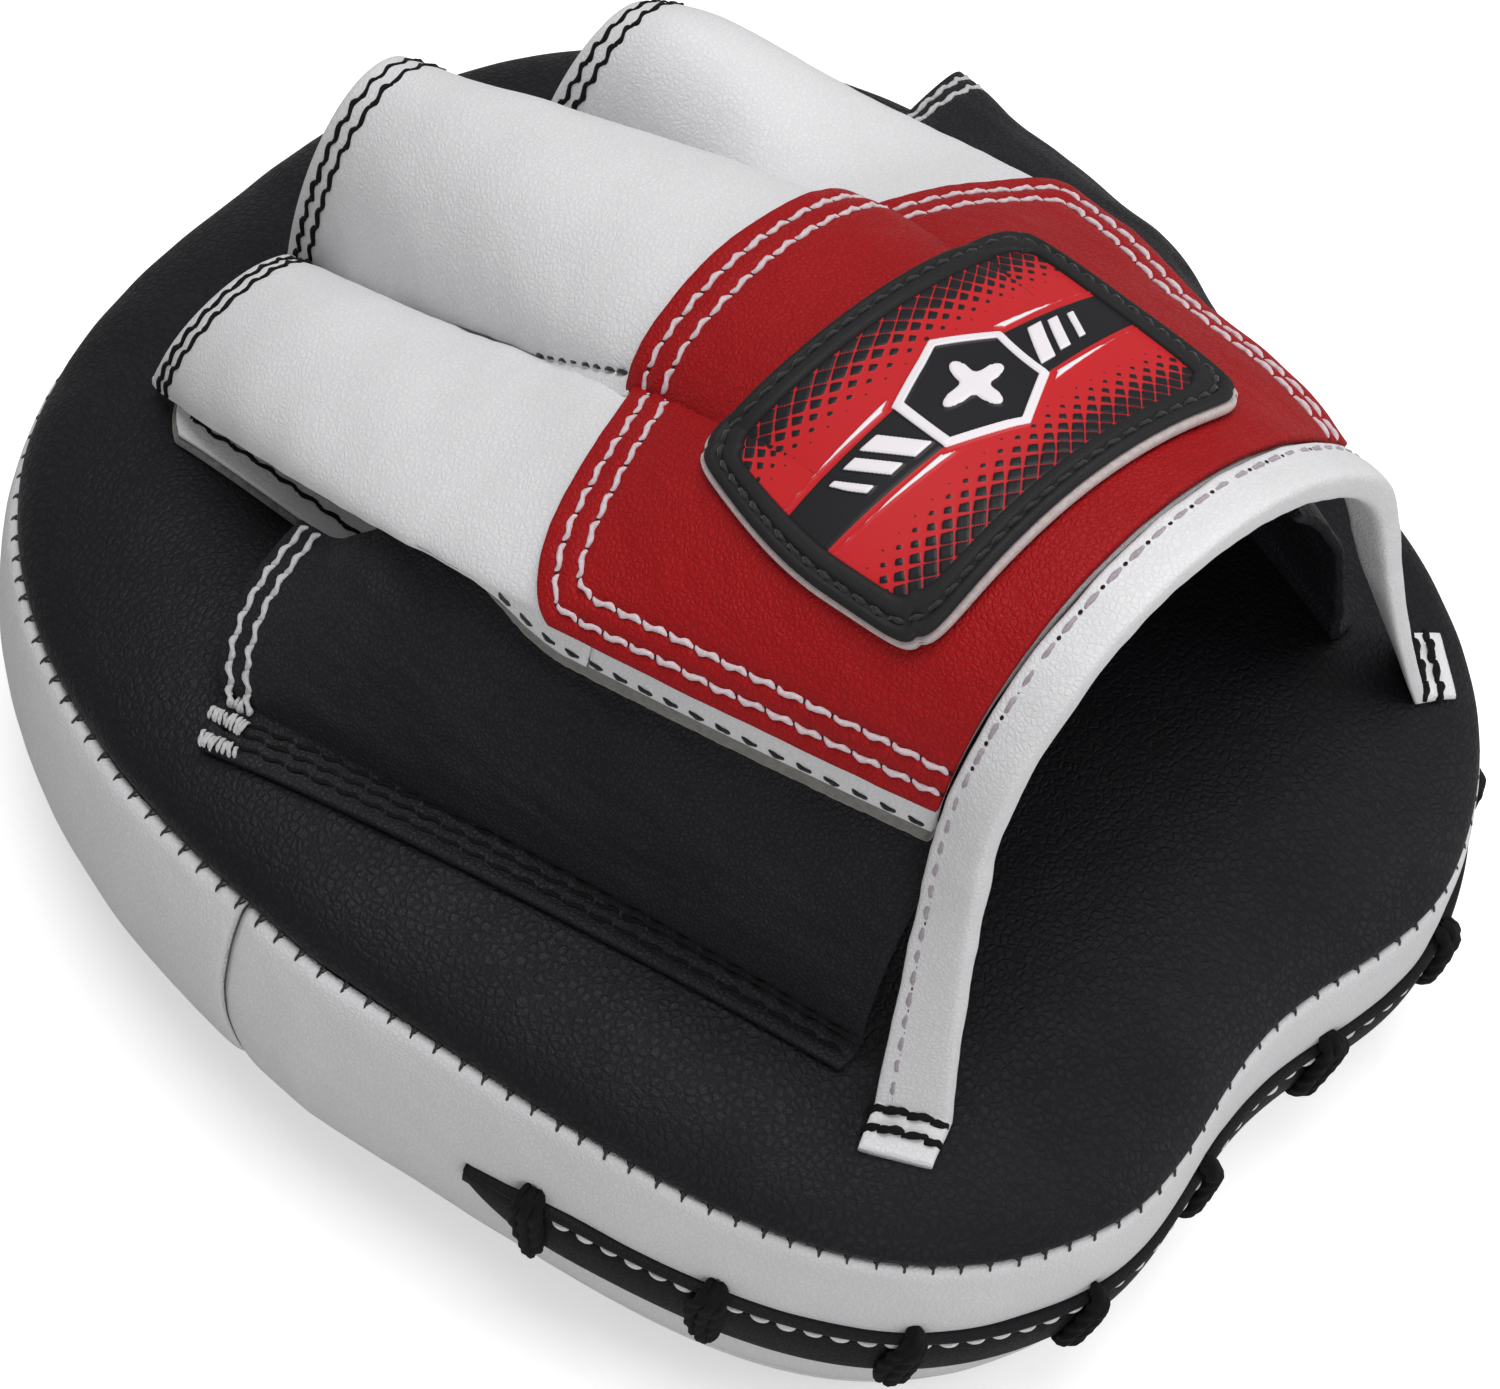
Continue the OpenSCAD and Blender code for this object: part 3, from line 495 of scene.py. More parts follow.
def plain_cloth(name, colour, grain, depth, roughness=0.9, sheen=0.3, uneven=0.2, gloss=0.4):
    """Felt, foam or thread: a matt surface with fine fibres."""
    material, tree, shader = new_material(name)
    tone = add(tree, "ShaderNodeGroup", node_tree=uneven_tone, Patches_per_metre=0.35 / grain,
               Amount=uneven)
    place = object_place(tree)
    fibres = add(tree, "ShaderNodeTexNoise", [("Vector", place)], Scale=1 / grain, Detail=5.0,
                 Roughness=0.7, Distortion=0.6)
    shade = maths(tree, "MULTIPLY", tone.outputs["Factor"],
                  smooth_range(tree, fibres.outputs["Fac"], 0.25, 0.7, 1 - uneven, 1.0))
    tree.links.new(tinted(tree, colour, shade), shader.inputs["Base Color"])
    bumpy(tree, shader, fibres.outputs["Fac"], depth)
    patchy = maths(tree, "MULTIPLY", tone.outputs["Patch"], 0.06)
    tree.links.new(maths(tree, "ADD", patchy, roughness, clamp=True), shader.inputs["Roughness"])
    adjust(shader, Sheen_Weight=sheen, Specular_IOR_Level=gloss)
    return material


# colour, pebble and depth in mm, roughness, painted shade in the creases, unevenness
white_leather, pad_leather, sleeve_black, tape_leather, red_leather, rubber_black = (
    leather(name, colour, size * mm, depth * mm, *rest) for name, colour, size, depth, *rest in (
        ("white_leather", (0.735, 0.73, 0.745), 1.0, 0.075, 0.42, 0.08, 0.04),
        ("black_pad_leather", (0.0090, 0.0086, 0.0115), 1.5, 0.12, 0.41, 0.4, 0.2),
        ("black_sleeve_leather", (0.0185, 0.0178, 0.0222), 1.0, 0.15, 0.4, 0.5, 0.2),
        ("black_tape_leather", (0.008, 0.0078, 0.0095), 0.9, 0.05, 0.42, 0.25, 0.1),
        ("red_leather", (0.355, 0.003, 0.005), 1.0, 0.14, 0.42, 0.16, 0.06),
        ("black_rubber", (0.018, 0.0175, 0.019), 0.5, 0.015, 0.45, 0.2, 0.1)))
white_thread, grey_thread, lilac_thread, black_thread = (
    plain_cloth(name, colour, 0.25 * mm, 0.06 * mm, roughness) for name, colour, roughness in (
        ("rose_white_thread", (0.72, 0.60, 0.64), 0.7),
        ("grey_white_thread", (0.58, 0.57, 0.58), 0.7),
        ("lilac_thread", (0.42, 0.36, 0.40), 0.7),
        ("black_thread", (0.006, 0.006, 0.007), 0.6)))
felt = plain_cloth("grey_felt", (0.26, 0.25, 0.235), 0.6 * mm, 0.25 * mm, uneven=0.45)
felt_fibres = plain_cloth("felt_fibres", (0.2, 0.19, 0.175), 0.5 * mm, 0.12 * mm)
raw_backing = plain_cloth("raw_backing", (0.55, 0.47, 0.46), 0.4 * mm, 0.05 * mm)
lining_cloth = plain_cloth("black_lining", (0.006, 0.0055, 0.007), 0.6 * mm, 0.08 * mm, sheen=0.05)
foam = plain_cloth("grey_foam", (0.16, 0.16, 0.165), 0.8 * mm, 0.1 * mm)
gel = plain_cloth("blue_shock_sheet", (0.05, 0.09, 0.17), 1.5 * mm, 0.05 * mm, 0.5)
# Painted shade for the needle holes, laid on as dark discs
painted_hole_shade = plain_cloth("needle_hole_painted_shade", (0.02, 0.004, 0.006), 0.3 * mm, 0.02 * mm, 0.95, 0.0)
cord_black = plain_cloth("black_cord", (0.0045, 0.0045, 0.005), 0.35 * mm, 0.12 * mm, 0.7, 0.02,
                         gloss=0.15)
print("made %d materials" % len(bpy.data.materials))


# %% Printed rubber of the badge
def make_badge_print():
    """Red moulded rubber with black and white motifs, from distances kept on its points."""
    material, tree, shader = new_material("badge_print")
    place = object_place(tree)
    masks = []
    for name in ("black_edge", "white_edge"):
        field = add(tree, "ShaderNodeAttribute", attribute_name=name)
        masks.append(smooth_range(tree, field.outputs["Fac"], 0.08, -0.08))
    first = add(tree, "ShaderNodeMix", [("Factor", masks[0])], data_type="RGBA",
                A=(0.52, 0.016, 0.02, 1), B=(0.012, 0.011, 0.013, 1))
    second = add(tree, "ShaderNodeMix", [("Factor", masks[1]), ("A", first.outputs["Result"])],
                 data_type="RGBA", B=(0.8, 0.76, 0.79, 1))
    tree.links.new(second.outputs["Result"], shader.inputs["Base Color"])
    grit = add(tree, "ShaderNodeTexNoise", [("Vector", place)], Scale=2500.0, Detail=3.0)
    bumpy(tree, shader, grit.outputs["Fac"], 0.01 * mm)
    adjust(shader, Roughness=0.42, Specular_IOR_Level=0.25)
    return material


badge_print = make_badge_print()
print("print of the badge has %d nodes" % len(badge_print.node_tree.nodes))

# %% [markdown]
# ## Stitches
#
# The thread is thick here, up to a millimetre, and it catches the light, so each stitch is a real
# twisted strand that comes out of one needle hole and goes into the next. Many strands are made in
# one go from arrays of their ends.

# %% Threads
def threads(starts, ends, ups, width, lift=0.25 * mm, sink=0.75, twist=1.6, sway=0.0, seed=1):
    """Points and faces of one twisted two-ply strand for each pair of ends."""
    starts, ends, ups = (np.asarray(a, float).reshape(-1, 3) for a in (starts, ends, ups))
    count, rings, sides = len(starts), 11, 8
    rng = np.random.default_rng(seed)
    t = np.linspace(0, 1, rings)
    ahead = unit(ends - starts)
    ups = unit(ups - ahead * np.sum(ups * ahead, -1, keepdims=True))
    side = np.cross(ahead, ups)
    size = width / 2 * (1 + rng.normal(0, 0.05, (count, 1)))
    rise = (lift + sink * width) * np.sin(np.pi * t) ** 0.5 - sink * width
    swing = sway * np.sin(2 * np.pi * t)[None] * width + rng.normal(0, 0.04, (count, 1)) * width
    middle = (starts[:, None] * (1 - t[:, None]) + ends[:, None] * t[:, None]
              + ups[:, None] * rise[None, :, None] + side[:, None] * swing[..., None])
    turn = np.linspace(0, 2 * np.pi, sides, endpoint=False)
    phase = 2 * np.pi * twist * t[None, :, None] + rng.uniform(0, 6.28, (count, 1, 1))
    slim = (1 - np.abs(2 * t - 1) ** 4 * 0.45)[:, None]
    radius = size[..., None] * (1 + 0.2 * np.cos(2 * turn - phase)) * slim
    points = (middle[:, :, None] + side[:, None, None] * (radius * np.cos(turn))[..., None]
              + ups[:, None, None] * (radius * 0.9 * np.sin(turn))[..., None])
    one, step = tube_faces(rings, sides), rings * sides
    return points.reshape(-1, 3), [[n + k * step for n in f] for k in range(count) for f in one]


def read_along(path, values, at):
    """Values kept at a path's points, read at distances along it."""
    along = lengths(path)
    return np.stack([np.interp(at, along, values[:, k]) for k in range(3)], -1)


def stitch_ends(path, normals, pitch, cover=0.85, slant=0.0):
    """Ends and normals of a row of stitches along a path; slant moves each end aside."""
    whole = lengths(path)[-1]
    count = max(1, int(round(whole / pitch)))
    first = (np.arange(count) + (1 - cover) / 2) / count * whole
    last = first + cover / count * whole
    starts, ends = read_along(path, path, first), read_along(path, path, last)
    ups = unit(read_along(path, normals, (first + last) / 2))
    side = unit(np.cross(ends - starts, ups)) * slant
    return starts - side, ends + side, ups


def stitch_row(path, normals, pitch, width, cover=0.85, slant=0.0, **more):
    return threads(*stitch_ends(path, normals, pitch, cover, slant), width, **more)


def tack(centre_point, ahead, up, size, count, width, seed=1):
    """A bar tack: short strands laid close together and a little untidily."""
    rng = np.random.default_rng(seed)
    ahead, up = unit(np.array(ahead)), unit(np.array(up))
    side = unit(np.cross(ahead, up))
    at = (np.linspace(-0.5, 0.5, count) + rng.normal(0, 0.04, count))[:, None] * ahead * size[0]
    half = side * size[1] / 2 * (1 + rng.normal(0, 0.12, (count, 1)))
    half = half + ahead * rng.normal(0, 0.12, (count, 1)) * size[1]
    middle = np.array(centre_point) + at + up * rng.uniform(0, 0.5, (count, 1)) * width
    return threads(middle - half, middle + half, np.tile(up, (count, 1)), width, seed=seed)


def sewing(name, rows, material, slot, **more):
    """One object for several rows of stitches."""
    points, faces, start = [], [], 0
    for row in rows:
        points.append(row[0])
        faces += [tuple(i + start for i in f) for f in row[1]]
        start += len(row[0])
    return piece(name, np.concatenate(points), faces, material, slot, **more)


def rope(path, radius, twist, sides=12, plies=3, depth=0.16):
    """A twisted cord along a path, twist in turns per metre."""
    path = np.asarray(path)
    ahead = unit(np.gradient(path, axis=0))
    first = unit(np.cross(ahead[0], [0.3, 0.2, 1]))
    frames = []
    for d in ahead:
        first = unit(first - d * np.dot(first, d))
        frames.append(first)
    side = np.array(frames)
    up = np.cross(ahead, side)
    turn = np.linspace(0, 2 * np.pi, sides, endpoint=False)
    phase = 2 * np.pi * plies * lengths(path)[:, None] * twist
    r = radius * (1 + depth * np.cos(plies * turn[None] - phase))
    r = r * np.sqrt(np.clip(1 - np.abs(np.linspace(-1, 1, len(path))) ** 16, 0.1, 1))[:, None]
    points = (path[:, None] + side[:, None] * (r * np.cos(turn))[..., None]
              + up[:, None] * (r * np.sin(turn))[..., None])
    return points.reshape(-1, 3), tube_faces(len(path), sides)


print("thread tools are ready")


# %% Lines on a sheet
def from_edge(grid, axis=0, far=False):
    """Distance of each grid point from a border, along the grid's own lines."""
    step = np.linalg.norm(np.diff(grid, axis=axis), axis=-1)
    start = np.zeros_like(step[:1] if axis == 0 else step[:, :1])
    d = np.concatenate([start, np.cumsum(step, axis=axis)], axis)
    return d.max(axis, keepdims=True) - d if far else d


def contour(field, level, axis, *arrays):
    """Where a field that changes along an axis passes a level: each array's values there."""
    values = np.concatenate([a if a.ndim == 3 else a[..., None] for a in arrays], -1)
    if axis == 1:
        field, values = field.T, values.transpose(1, 0, 2)
    if field[0, 0] > field[-1, 0]:
        field, values = field[::-1], values[::-1]
    found = np.array([[np.interp(level, column, value) for value in row]
                      for column, row in zip(field.T, values.transpose(1, 2, 0))])
    split = np.cumsum([a.shape[-1] if a.ndim == 3 else 1 for a in arrays])[:-1]
    return [part if part.shape[1] > 1 else part[:, 0] for part in np.split(found, split, axis=1)]


def groove(d, at, depth, width):
    """Depth of the channel that a row of stitches presses into leather."""
    return depth * bump_at(d, at, width)


def hole_shade_discs(path, normals, pitch, size, lift=0.05 * mm, corners=8):
    """Small dark discs of painted shade where the needle went in, half a stitch before each stitch.
    """
    whole = lengths(path)[-1]
    count = max(1, int(round(whole / pitch)))
    at = np.arange(count + 1) / count * whole
    middle, up = read_along(path, path, at), unit(read_along(path, normals, at))
    ahead = unit(np.gradient(middle, axis=0))
    side = 0.8 * np.cross(up, ahead)
    turn = np.linspace(0, 2 * np.pi, corners, endpoint=False)[:, None]
    points = (middle + up * lift)[:, None] + size * (
        ahead[:, None] * np.cos(turn) + side[:, None] * np.sin(turn))
    return points.reshape(-1, 3), np.arange(points.size // 3).reshape(-1, corners).tolist()


def round_three_sides(grid, normals, inset):
    """Path and normals on a grid at a distance from its two long sides and its front."""
    near, far, front = from_edge(grid, 1), from_edge(grid, 1, True), from_edge(grid)
    parts = []
    for field, level_axis in ((near, 1), (front, 0), (far, 1)):
        p, n, a, b, c = contour(field, inset, level_axis, grid, normals, near, far, front)
        others = [d for d, f in ((a, near), (b, far), (c, front)) if f is not field]
        keep = np.all([d >= inset * 0.999 for d in others], 0)
        parts.append((p[keep], n[keep]))
    parts[0] = [part[::-1] for part in parts[0]]
    return [np.concatenate(found) for found in zip(*parts)]


hand_sewing = partial(sewing, place=settled)
print("tools for lines are ready")

# %% [markdown]
# ## The pad
#
# The striking face, the side wall and the back panel close round the foam. The back panel's edge
# rolls under and the wall's top edge rolls in to meet it, so that the back seam is a real crease.

# %% Striking face
face_rings = 1 - (1 - np.linspace(0.0, 1, 40)) ** 1.7
face_rings[0] = 0.002
face_columns, edge_round, edge_from = 360, 1.2 * mm, 0.985


def face_skin(height):
    """Rings of points across the pad, at a height given for each ring's share of the outline."""
    a = np.linspace(0, 2 * np.pi, face_columns, endpoint=False)
    rows = []
    for s in face_rings:
        p = centre + (wall_point(a, -height(s), 0)[:, :2] - centre) * s
        y = widest_y + (rim(a)[:, 1] - widest_y) * s
        rows.append(np.concatenate([p, (seam_z(y) + height(s))[:, None]], 1))
    return np.array(rows)


def face_low(s):
    corner = max(0, (s - edge_from) / (1 - edge_from))
    return -rim_height + edge_round * (1 - np.sqrt(max(0, 1 - corner ** 2)))


top, low = face_skin(lambda s: face_leather - rim_height), face_skin(face_low)
loops = np.concatenate([low, top[::-1]])
striking = piece("striking_face_leather", loops, tube_faces(*loops.shape[:2]), white_leather,
                 "white_leather", node="striking_face")
print("striking face", len(striking.data.polygons), "faces")

# %% Back panel
panel_a = even_angles(0, 2 * np.pi, 1.5 * mm)[:-1]
panel_s = 1 - (1 - np.linspace(0.03, 1, 64)) ** 2
rows = []
for s in panel_s:
    p = centre + (rim(panel_a) - centre) * s
    rows.append(np.stack([p[:, 0], p[:, 1], seam_z(p[:, 1]) + crown_at(s)], -1))
for depth, out in ((0.9, -0.15), (1.6, -0.6), (2.1, -1.5), (2.3, -3.5)):
    rows.append(wall_point(panel_a, depth * mm, out * mm))
panel_grid = np.array(rows)
panel_normals = -unit(np.cross(np.roll(panel_grid, 1, 1) - np.roll(panel_grid, -1, 1),
                               np.gradient(panel_grid, axis=0)))
puff = drift(panel_grid, 26 * mm, 1) * 0.5 + drift(panel_grid, 9 * mm, 2) * 0.22
calm = np.ones(len(rows))
calm[-6:] = (0.8, 0.4, 0.2, 0, 0, 0)
swollen = 0.8 * mm * np.minimum(puff, 0.35) * calm[:, None]
panel_grid = panel_grid + panel_normals * swollen[..., None]
columns = len(panel_a)
faces = grid_faces(len(rows), columns, loop=True)[:, ::-1].tolist() + [tuple(range(columns))]
back_leather = piece("back_panel_leather", panel_grid, faces, pad_leather, "black_leather",
                     node="back_panel")
print("back panel", len(back_leather.data.polygons), "faces")

# %% Side wall
side_seam, seam_gap, slit_start = np.radians(81), 0.002, np.radians(109)
slit_depth, slit_height, slit_taper = 24.5 * mm, 2 * mm, 9 * mm
wall_bottom = rim_height - face_leather - layer_gap
wall_top = 1.5 * mm


def wall_out(a, depth):
    """How far the wall's leather stands out, with its top and bottom edges rolled in."""
    roll = 1.4 * mm * np.exp(-np.maximum(depth - wall_top, 0) / (0.7 * mm))
    foot = 1.0 * mm * np.exp(-np.maximum(wall_bottom - depth, 0) / (0.6 * mm))
    return bulge(a, depth) - roll - foot


def on_wall(a, depth, out=0.0):
    return wall_point(a, depth, wall_out(a, depth) + out)


def wall_sheet(name, first, last, node, slit):
    """One of the wall's two sheets, from one side seam to the other."""
    a = even_angles(first, last, 1.3 * mm)
    open_half = np.zeros(len(a)) + 0.01 * mm
    if slit:
        arc = half_width * np.minimum(a - slit_start, 2 * np.pi - slit_start - a)
        open_half += slit_height / 2 * np.sqrt(np.clip(arc / slit_taper, 0, 1))
    depth = np.array([mix(wall_top, slit_depth - open_half, t) for t in np.linspace(0, 1, 30)]
                     + [mix(slit_depth + open_half, wall_bottom, t) for t in np.linspace(0, 1, 14)])
    flat = wall_point(a[None], depth, 0)
    soft = (drift(flat, 16 * mm, 3) * 0.35 + drift(flat, 6 * mm, 4) * 0.12) * mm
    from_seam = half_width * (np.minimum(a - first, last - a) + seam_gap)
    pull = 0.9 * mm * np.exp(-from_seam / (1.5 * mm))
    grid = on_wall(a[None], depth, soft - pull).transpose(1, 0, 2)
    leather_sheet(name, grid, cover_leather, white_leather, "white_leather", node=node)
    return len(a)


finger_a, wrist_a = side_seam - seam_gap, side_seam + seam_gap
print("walls of %d and %d columns" % (
    wall_sheet("finger_end_wall_leather", -finger_a, finger_a, "finger_end_wall", False),
    wall_sheet("wrist_end_wall_leather", wrist_a, 2 * np.pi - wrist_a, "wrist_end_wall", True)))

# %% Stitches of the back seam
whip_a = even_angles(0, 2 * np.pi, 4.5 * mm)[:-1]
whip_a = whip_a + np.random.default_rng(3).normal(0, 0.0012, len(whip_a))
whip_up = unit(wall_point(whip_a, 1 * mm, 3 * mm) - wall_point(whip_a, 1 * mm, 0))
step = 0.55 * mm / half_width
whip_rows = [threads(on_wall(whip_a, 0.7 * mm, 0.5 * mm), on_wall(whip_a + 0.2 * step, 2.9 * mm),
                     whip_up, 0.5 * mm, lift=0.1 * mm, sink=0.3, seed=11)]
for side in (-1, 1):
    starts = on_wall(whip_a + 1.1 * side * step, 1.5 * mm, 0.05 * mm)
    ends = on_wall(whip_a + 0.1 * side * step, 2.1 * mm)
    whip_rows.append(threads(starts, ends, whip_up, 0.3 * mm, lift=0.05 * mm, sink=0.3, seed=12))
sewing("back_seam_thread", whip_rows, black_thread, "black_leather")
print("%d stitches round the back seam" % len(whip_a))

# %% White leather showing in the slit
sliver_a = even_angles(slit_start + 0.14, 2 * np.pi - slit_start - 0.14, 4.3 * mm)
turn, shown = 1.5 * mm / half_width, slit_depth - 0.35 * mm
out = wall_point(sliver_a, slit_depth, 9 * mm) - wall_point(sliver_a, slit_depth, 0)
starts, ends = (wall_point(sliver_a + side * turn, shown, wall_out(sliver_a, shown) + 1.1 * mm)
                for side in (-1, 1))
sewing("slit_edge", [threads(starts, ends, out, 1.25 * mm, lift=0.2 * mm, sink=0.6, twist=0)],
       white_leather, "white_leather")
print("%d slivers of white leather between the tapes" % len(sliver_a))

# %% Tapes along the slit
tape_t = 1.4 * mm


def slit_tape(name, side, node, tape_height):
    """A tape along one edge of the slit, above it for side -1 and below it for side 1."""
    past = np.radians(1)
    a = even_angles(slit_start - past, 2 * np.pi - slit_start + past, 1.2 * mm)
    arc = half_width * np.minimum(a - a[0], a[-1] - a)
    taper = np.sqrt(np.clip(arc / slit_taper, 0.14, 1))
    gap = slit_height / 2 * ease((arc - 6 * mm) / (12 * mm))
    near, far = slit_depth + side * gap, slit_depth + side * (gap + tape_height * taper)
    rows = []
    for t in np.linspace(0, 1, 11):
        swell = tape_t * (0.25 + 0.75 * (1 - abs(2 * t - 1) ** 3)) * mix(0.5, 1, taper)
        rows.append(on_wall(a, mix(near, far, t), 0.4 * mm + swell))
    rows += [on_wall(a, depth, -0.4 * mm) for depth in (far, near)]
    loops = np.array(rows).transpose(1, 0, 2)
    faces = [f[::side] for f in tube_faces(*loops.shape[:2], first=1)]
    piece(name, loops, faces, tape_leather, "black_leather", node=node)


slit_tape("upper_slit_tape_leather", -1, "upper_slit_tape", 2 * mm)
slit_tape("lower_slit_tape_leather", 1, "lower_slit_tape", 11 * mm)
print("tapes of %.1f mm leather above and below the slit" % (tape_t / mm))

# %% Lace knots
loop_angles = np.radians([180 + side * d for side in (-1, 1) for d in (7, 21, 35.4, 50.2, 65.4)])
lace_above, lace_below, cord_radius = 6 * mm, 13.5 * mm, 1.25 * mm
lace_parts = []
for number, a in enumerate(loop_angles):
    for shift in (-1.6, 0.0, 1.6):
        s = np.linspace(-1, 1, 41)
        reach = 1 - 0.05 * abs(shift)
        depth = mix(slit_depth - lace_above * reach, slit_depth + lace_below * reach, (s + 1) / 2)
        over = tape_t * np.minimum(1, 3 * (1 - np.abs(s))) - 1.6 * mm * s ** 8
        over = over + (1.5 + 0.5 * (shift == 0)) * mm
        cross = shift * mm / half_width * (1 - 0.4 * s ** 2) * np.cos(0.9 * s + 0.4 * number)
        at = a + cross + 0.008 * np.sin(2 * s + number)
        lace_parts.append(rope(on_wall(at, depth, over), cord_radius, 90))
sewing("rim_lace_cord", lace_parts, cord_black, "black_cord", node="rim_lace")
print("lace of %d knots" % len(loop_angles))

# %% [markdown]
# ## The hand compartment
#
# The palm layer lies on the back panel. The three finger sleeves stand on it with folded hems, and
# the felt-lined cover runs from behind the knuckles to the cuff, under the red knuckle panel.

# %% Palm layer and gussets
palm_front_half, palm_back_half, palm_corner = 54 * mm, 50 * mm, 5 * mm
palm_front, palm_back, palm_bow = 90 * mm, -30 * mm, 11 * mm


def palm_sheet(name, height, thickness, material, slot, node, grow=0.0):
    t, k = np.meshgrid(np.linspace(0, 1, 70), np.linspace(-1, 1, 80), indexing="ij")
    x = k * (mix(palm_front_half, palm_back_half, t) + grow)
    corner = palm_corner * np.abs(k) ** 14 * np.exp(-t * 14)
    y = mix(palm_front + grow, palm_back, t) - palm_bow * k ** 2 * (1 - t) - corner
    grid = np.stack([x, y, base_z(x, y) + height], -1)
    hand_sheet(name, grid, thickness, material, slot, node=node)
    return grid


palm_sheet("palm_felt_sheet", 1.8 * mm, 1.5 * mm, felt, "felt", "palm_felt", 0.5 * mm)
palm_grid = palm_sheet("palm_leather_sheet", 3.3 * mm, 1.2 * mm, white_leather, "white_leather",
                       "palm_leather")
palm_up = grid_normals(palm_grid)
palm_up = palm_up * np.sign(palm_up[..., 2:])
seam = round_three_sides(palm_grid, palm_up, 3.5 * mm)
hand_sewing("palm_thread", [stitch_row(*seam, 5 * mm, 0.8 * mm, 1.14, 0.35 * mm, lift=0.2 * mm,
                                       sink=0.3, sway=0.5)], cord_black, "black_leather")

sides = {-1: "low", 1: "high"}
for side, end in sides.items():
    y, u = np.meshgrid(np.linspace(66, 20, 40) * mm, np.linspace(0, 1, 14), indexing="ij")
    x = side * through("valley_x", y) + 0.7 * mm
    low = base_z(x, y) + palm_thickness
    z = mix(low, np.maximum(low + 0.2 * mm, valley_z(y) - 2.0 * mm), u)
    hand_sheet("finger_gusset_" + end, np.stack([x, y, z], -1), 1.4 * mm, white_leather,
               "white_leather", node="finger_gussets")
print("palm layer %.0f mm wide" % (np.ptp(palm_grid[..., 0]) / mm))

# %% Finger sleeves
panel_sweep, tuck, hem_lean = 19 * mm, 6 * mm, 5 * mm
sleeve_leather, hand_leather, panel_leather = 1.8 * mm, 1.5 * mm, 1.7 * mm
felt_thickness, lining_thickness, white_drop = 2.4 * mm, 1.0 * mm, 6.2 * mm


def panel_front(v):
    """Where the knuckle panel's front edge lies along the hand."""
    return -panel_sweep * np.abs(v) ** 1.6 + 3 * mm - 4 * mm * np.clip(-v, 0, 1) ** 6


def strip_point(y, side, drop):
    """Point on the cover's side, a drop below the edge of the knuckle panel."""
    return np.stack([side * (through("edge_x", y) + 0.1 * drop), y, edge_z(y) - drop], -1)


def strip_drop(y):
    """Height of the white strip that shows below the knuckle panel."""
    return white_drop * ease((-2 * mm - y) / (20 * mm))


def with_strip(grid, side, drops):
    """The grid with rows added down one side, at each of the drops."""
    y = grid[:, 0 if side < 0 else -1, 1]
    strip = np.stack([strip_point(y, side, drop) for drop in drops(y)], 1)
    return np.concatenate([strip[:, ::-1], grid] if side < 0 else [grid, strip], 1)


def sleeve(name, first, last, hem, rise, node, side=0):
    """A finger sleeve across twelfths of the compartment's half, and its normals."""
    t, k = np.meshgrid(np.linspace(0, 1, 90), np.linspace(first, last, 8 * (last - first) + 1),
                       indexing="ij")
    v = np.clip(k / 12, (first + 0.12) / 12, (last - 0.12) / 12)
    round_up = np.cos(np.pi * ((k - first) / (last - first) - 0.5))
    y = mix(hem - hem_lean * round_up, panel_front(v) - tuck, t)
    grid = hand_point(y, v, mix(rise, by_side(v, side_swell), ease(1.3 * t)))
    if side:
        grid = with_strip(grid, side, lambda y: [(strip_drop(y) + 0.4 * mm) * s
                                                 for s in np.linspace(0.15, 1, 8)])
    normals = grid_normals(grid)
    t, down = t[:, :1], t[:, :1] * hem
    soft = drift(grid, 14 * mm, 5 + first) * 0.5 * mm * ease(t * 6) * ease((1 - t) * 3)
    low = np.linspace(-1, 1, grid.shape[1])[None] ** 2
    creases = drift(grid * [0.5, 1.0, 0.6], 3.2 * mm, 15 + first) * 0.22 * mm
    soft = soft + creases * ease(t * 8) * (0.25 + 0.75 * low)
    grid = grid + normals * soft[..., None]
    thickness = sleeve_leather + 0.9 * mm * (1 - ease((down - 7 * mm) / (1.5 * mm)))
    hand_sheet(name, grid, thickness + 0 * grid[..., 0], white_leather, "white_leather", normals,
               node=node)
    return grid, normals


sleeves = [sleeve(finger + "_sleeve_leather", first, first + 8, hem * mm, rise * mm,
                  finger + "_sleeve", side)
           for finger, first, hem, rise, side in (
               ("index", -12, 86, 17, -1), ("middle", -4, 89, 2.5, 0), ("ring", 4, 68, 32, 1))]
hem_paths = [contour(from_edge(grid), inset, 0, grid, normals)
             for grid, normals in sleeves for inset in (3.0 * mm, 6.5 * mm)]
hand_sewing("sleeve_hem_thread",
            [stitch_row(p, n, 4.6 * mm, 1.0 * mm, 1.14, 0.4 * mm, lift=0.25 * mm, sink=0.3,
                        sway=0.6, seed=k) for k, (p, n) in enumerate(hem_paths)],
            cord_black, "black_leather")
print("finger sleeves of %d points" % sleeves[0][0][..., 0].size)

# %% Cover, felt and lining
cover_start = tuck + layer_gap


def cover_grid(drop, back, rows, columns):
    t, v = np.meshgrid(np.linspace(0, 1, rows), np.linspace(-1, 1, columns), indexing="ij")
    grid = hand_point(mix(panel_front(v) - cover_start, -back, t), v)
    for side in sides:
        grid = with_strip(grid, side, lambda y: drop * np.linspace(0.12, 1, 8))
    return grid


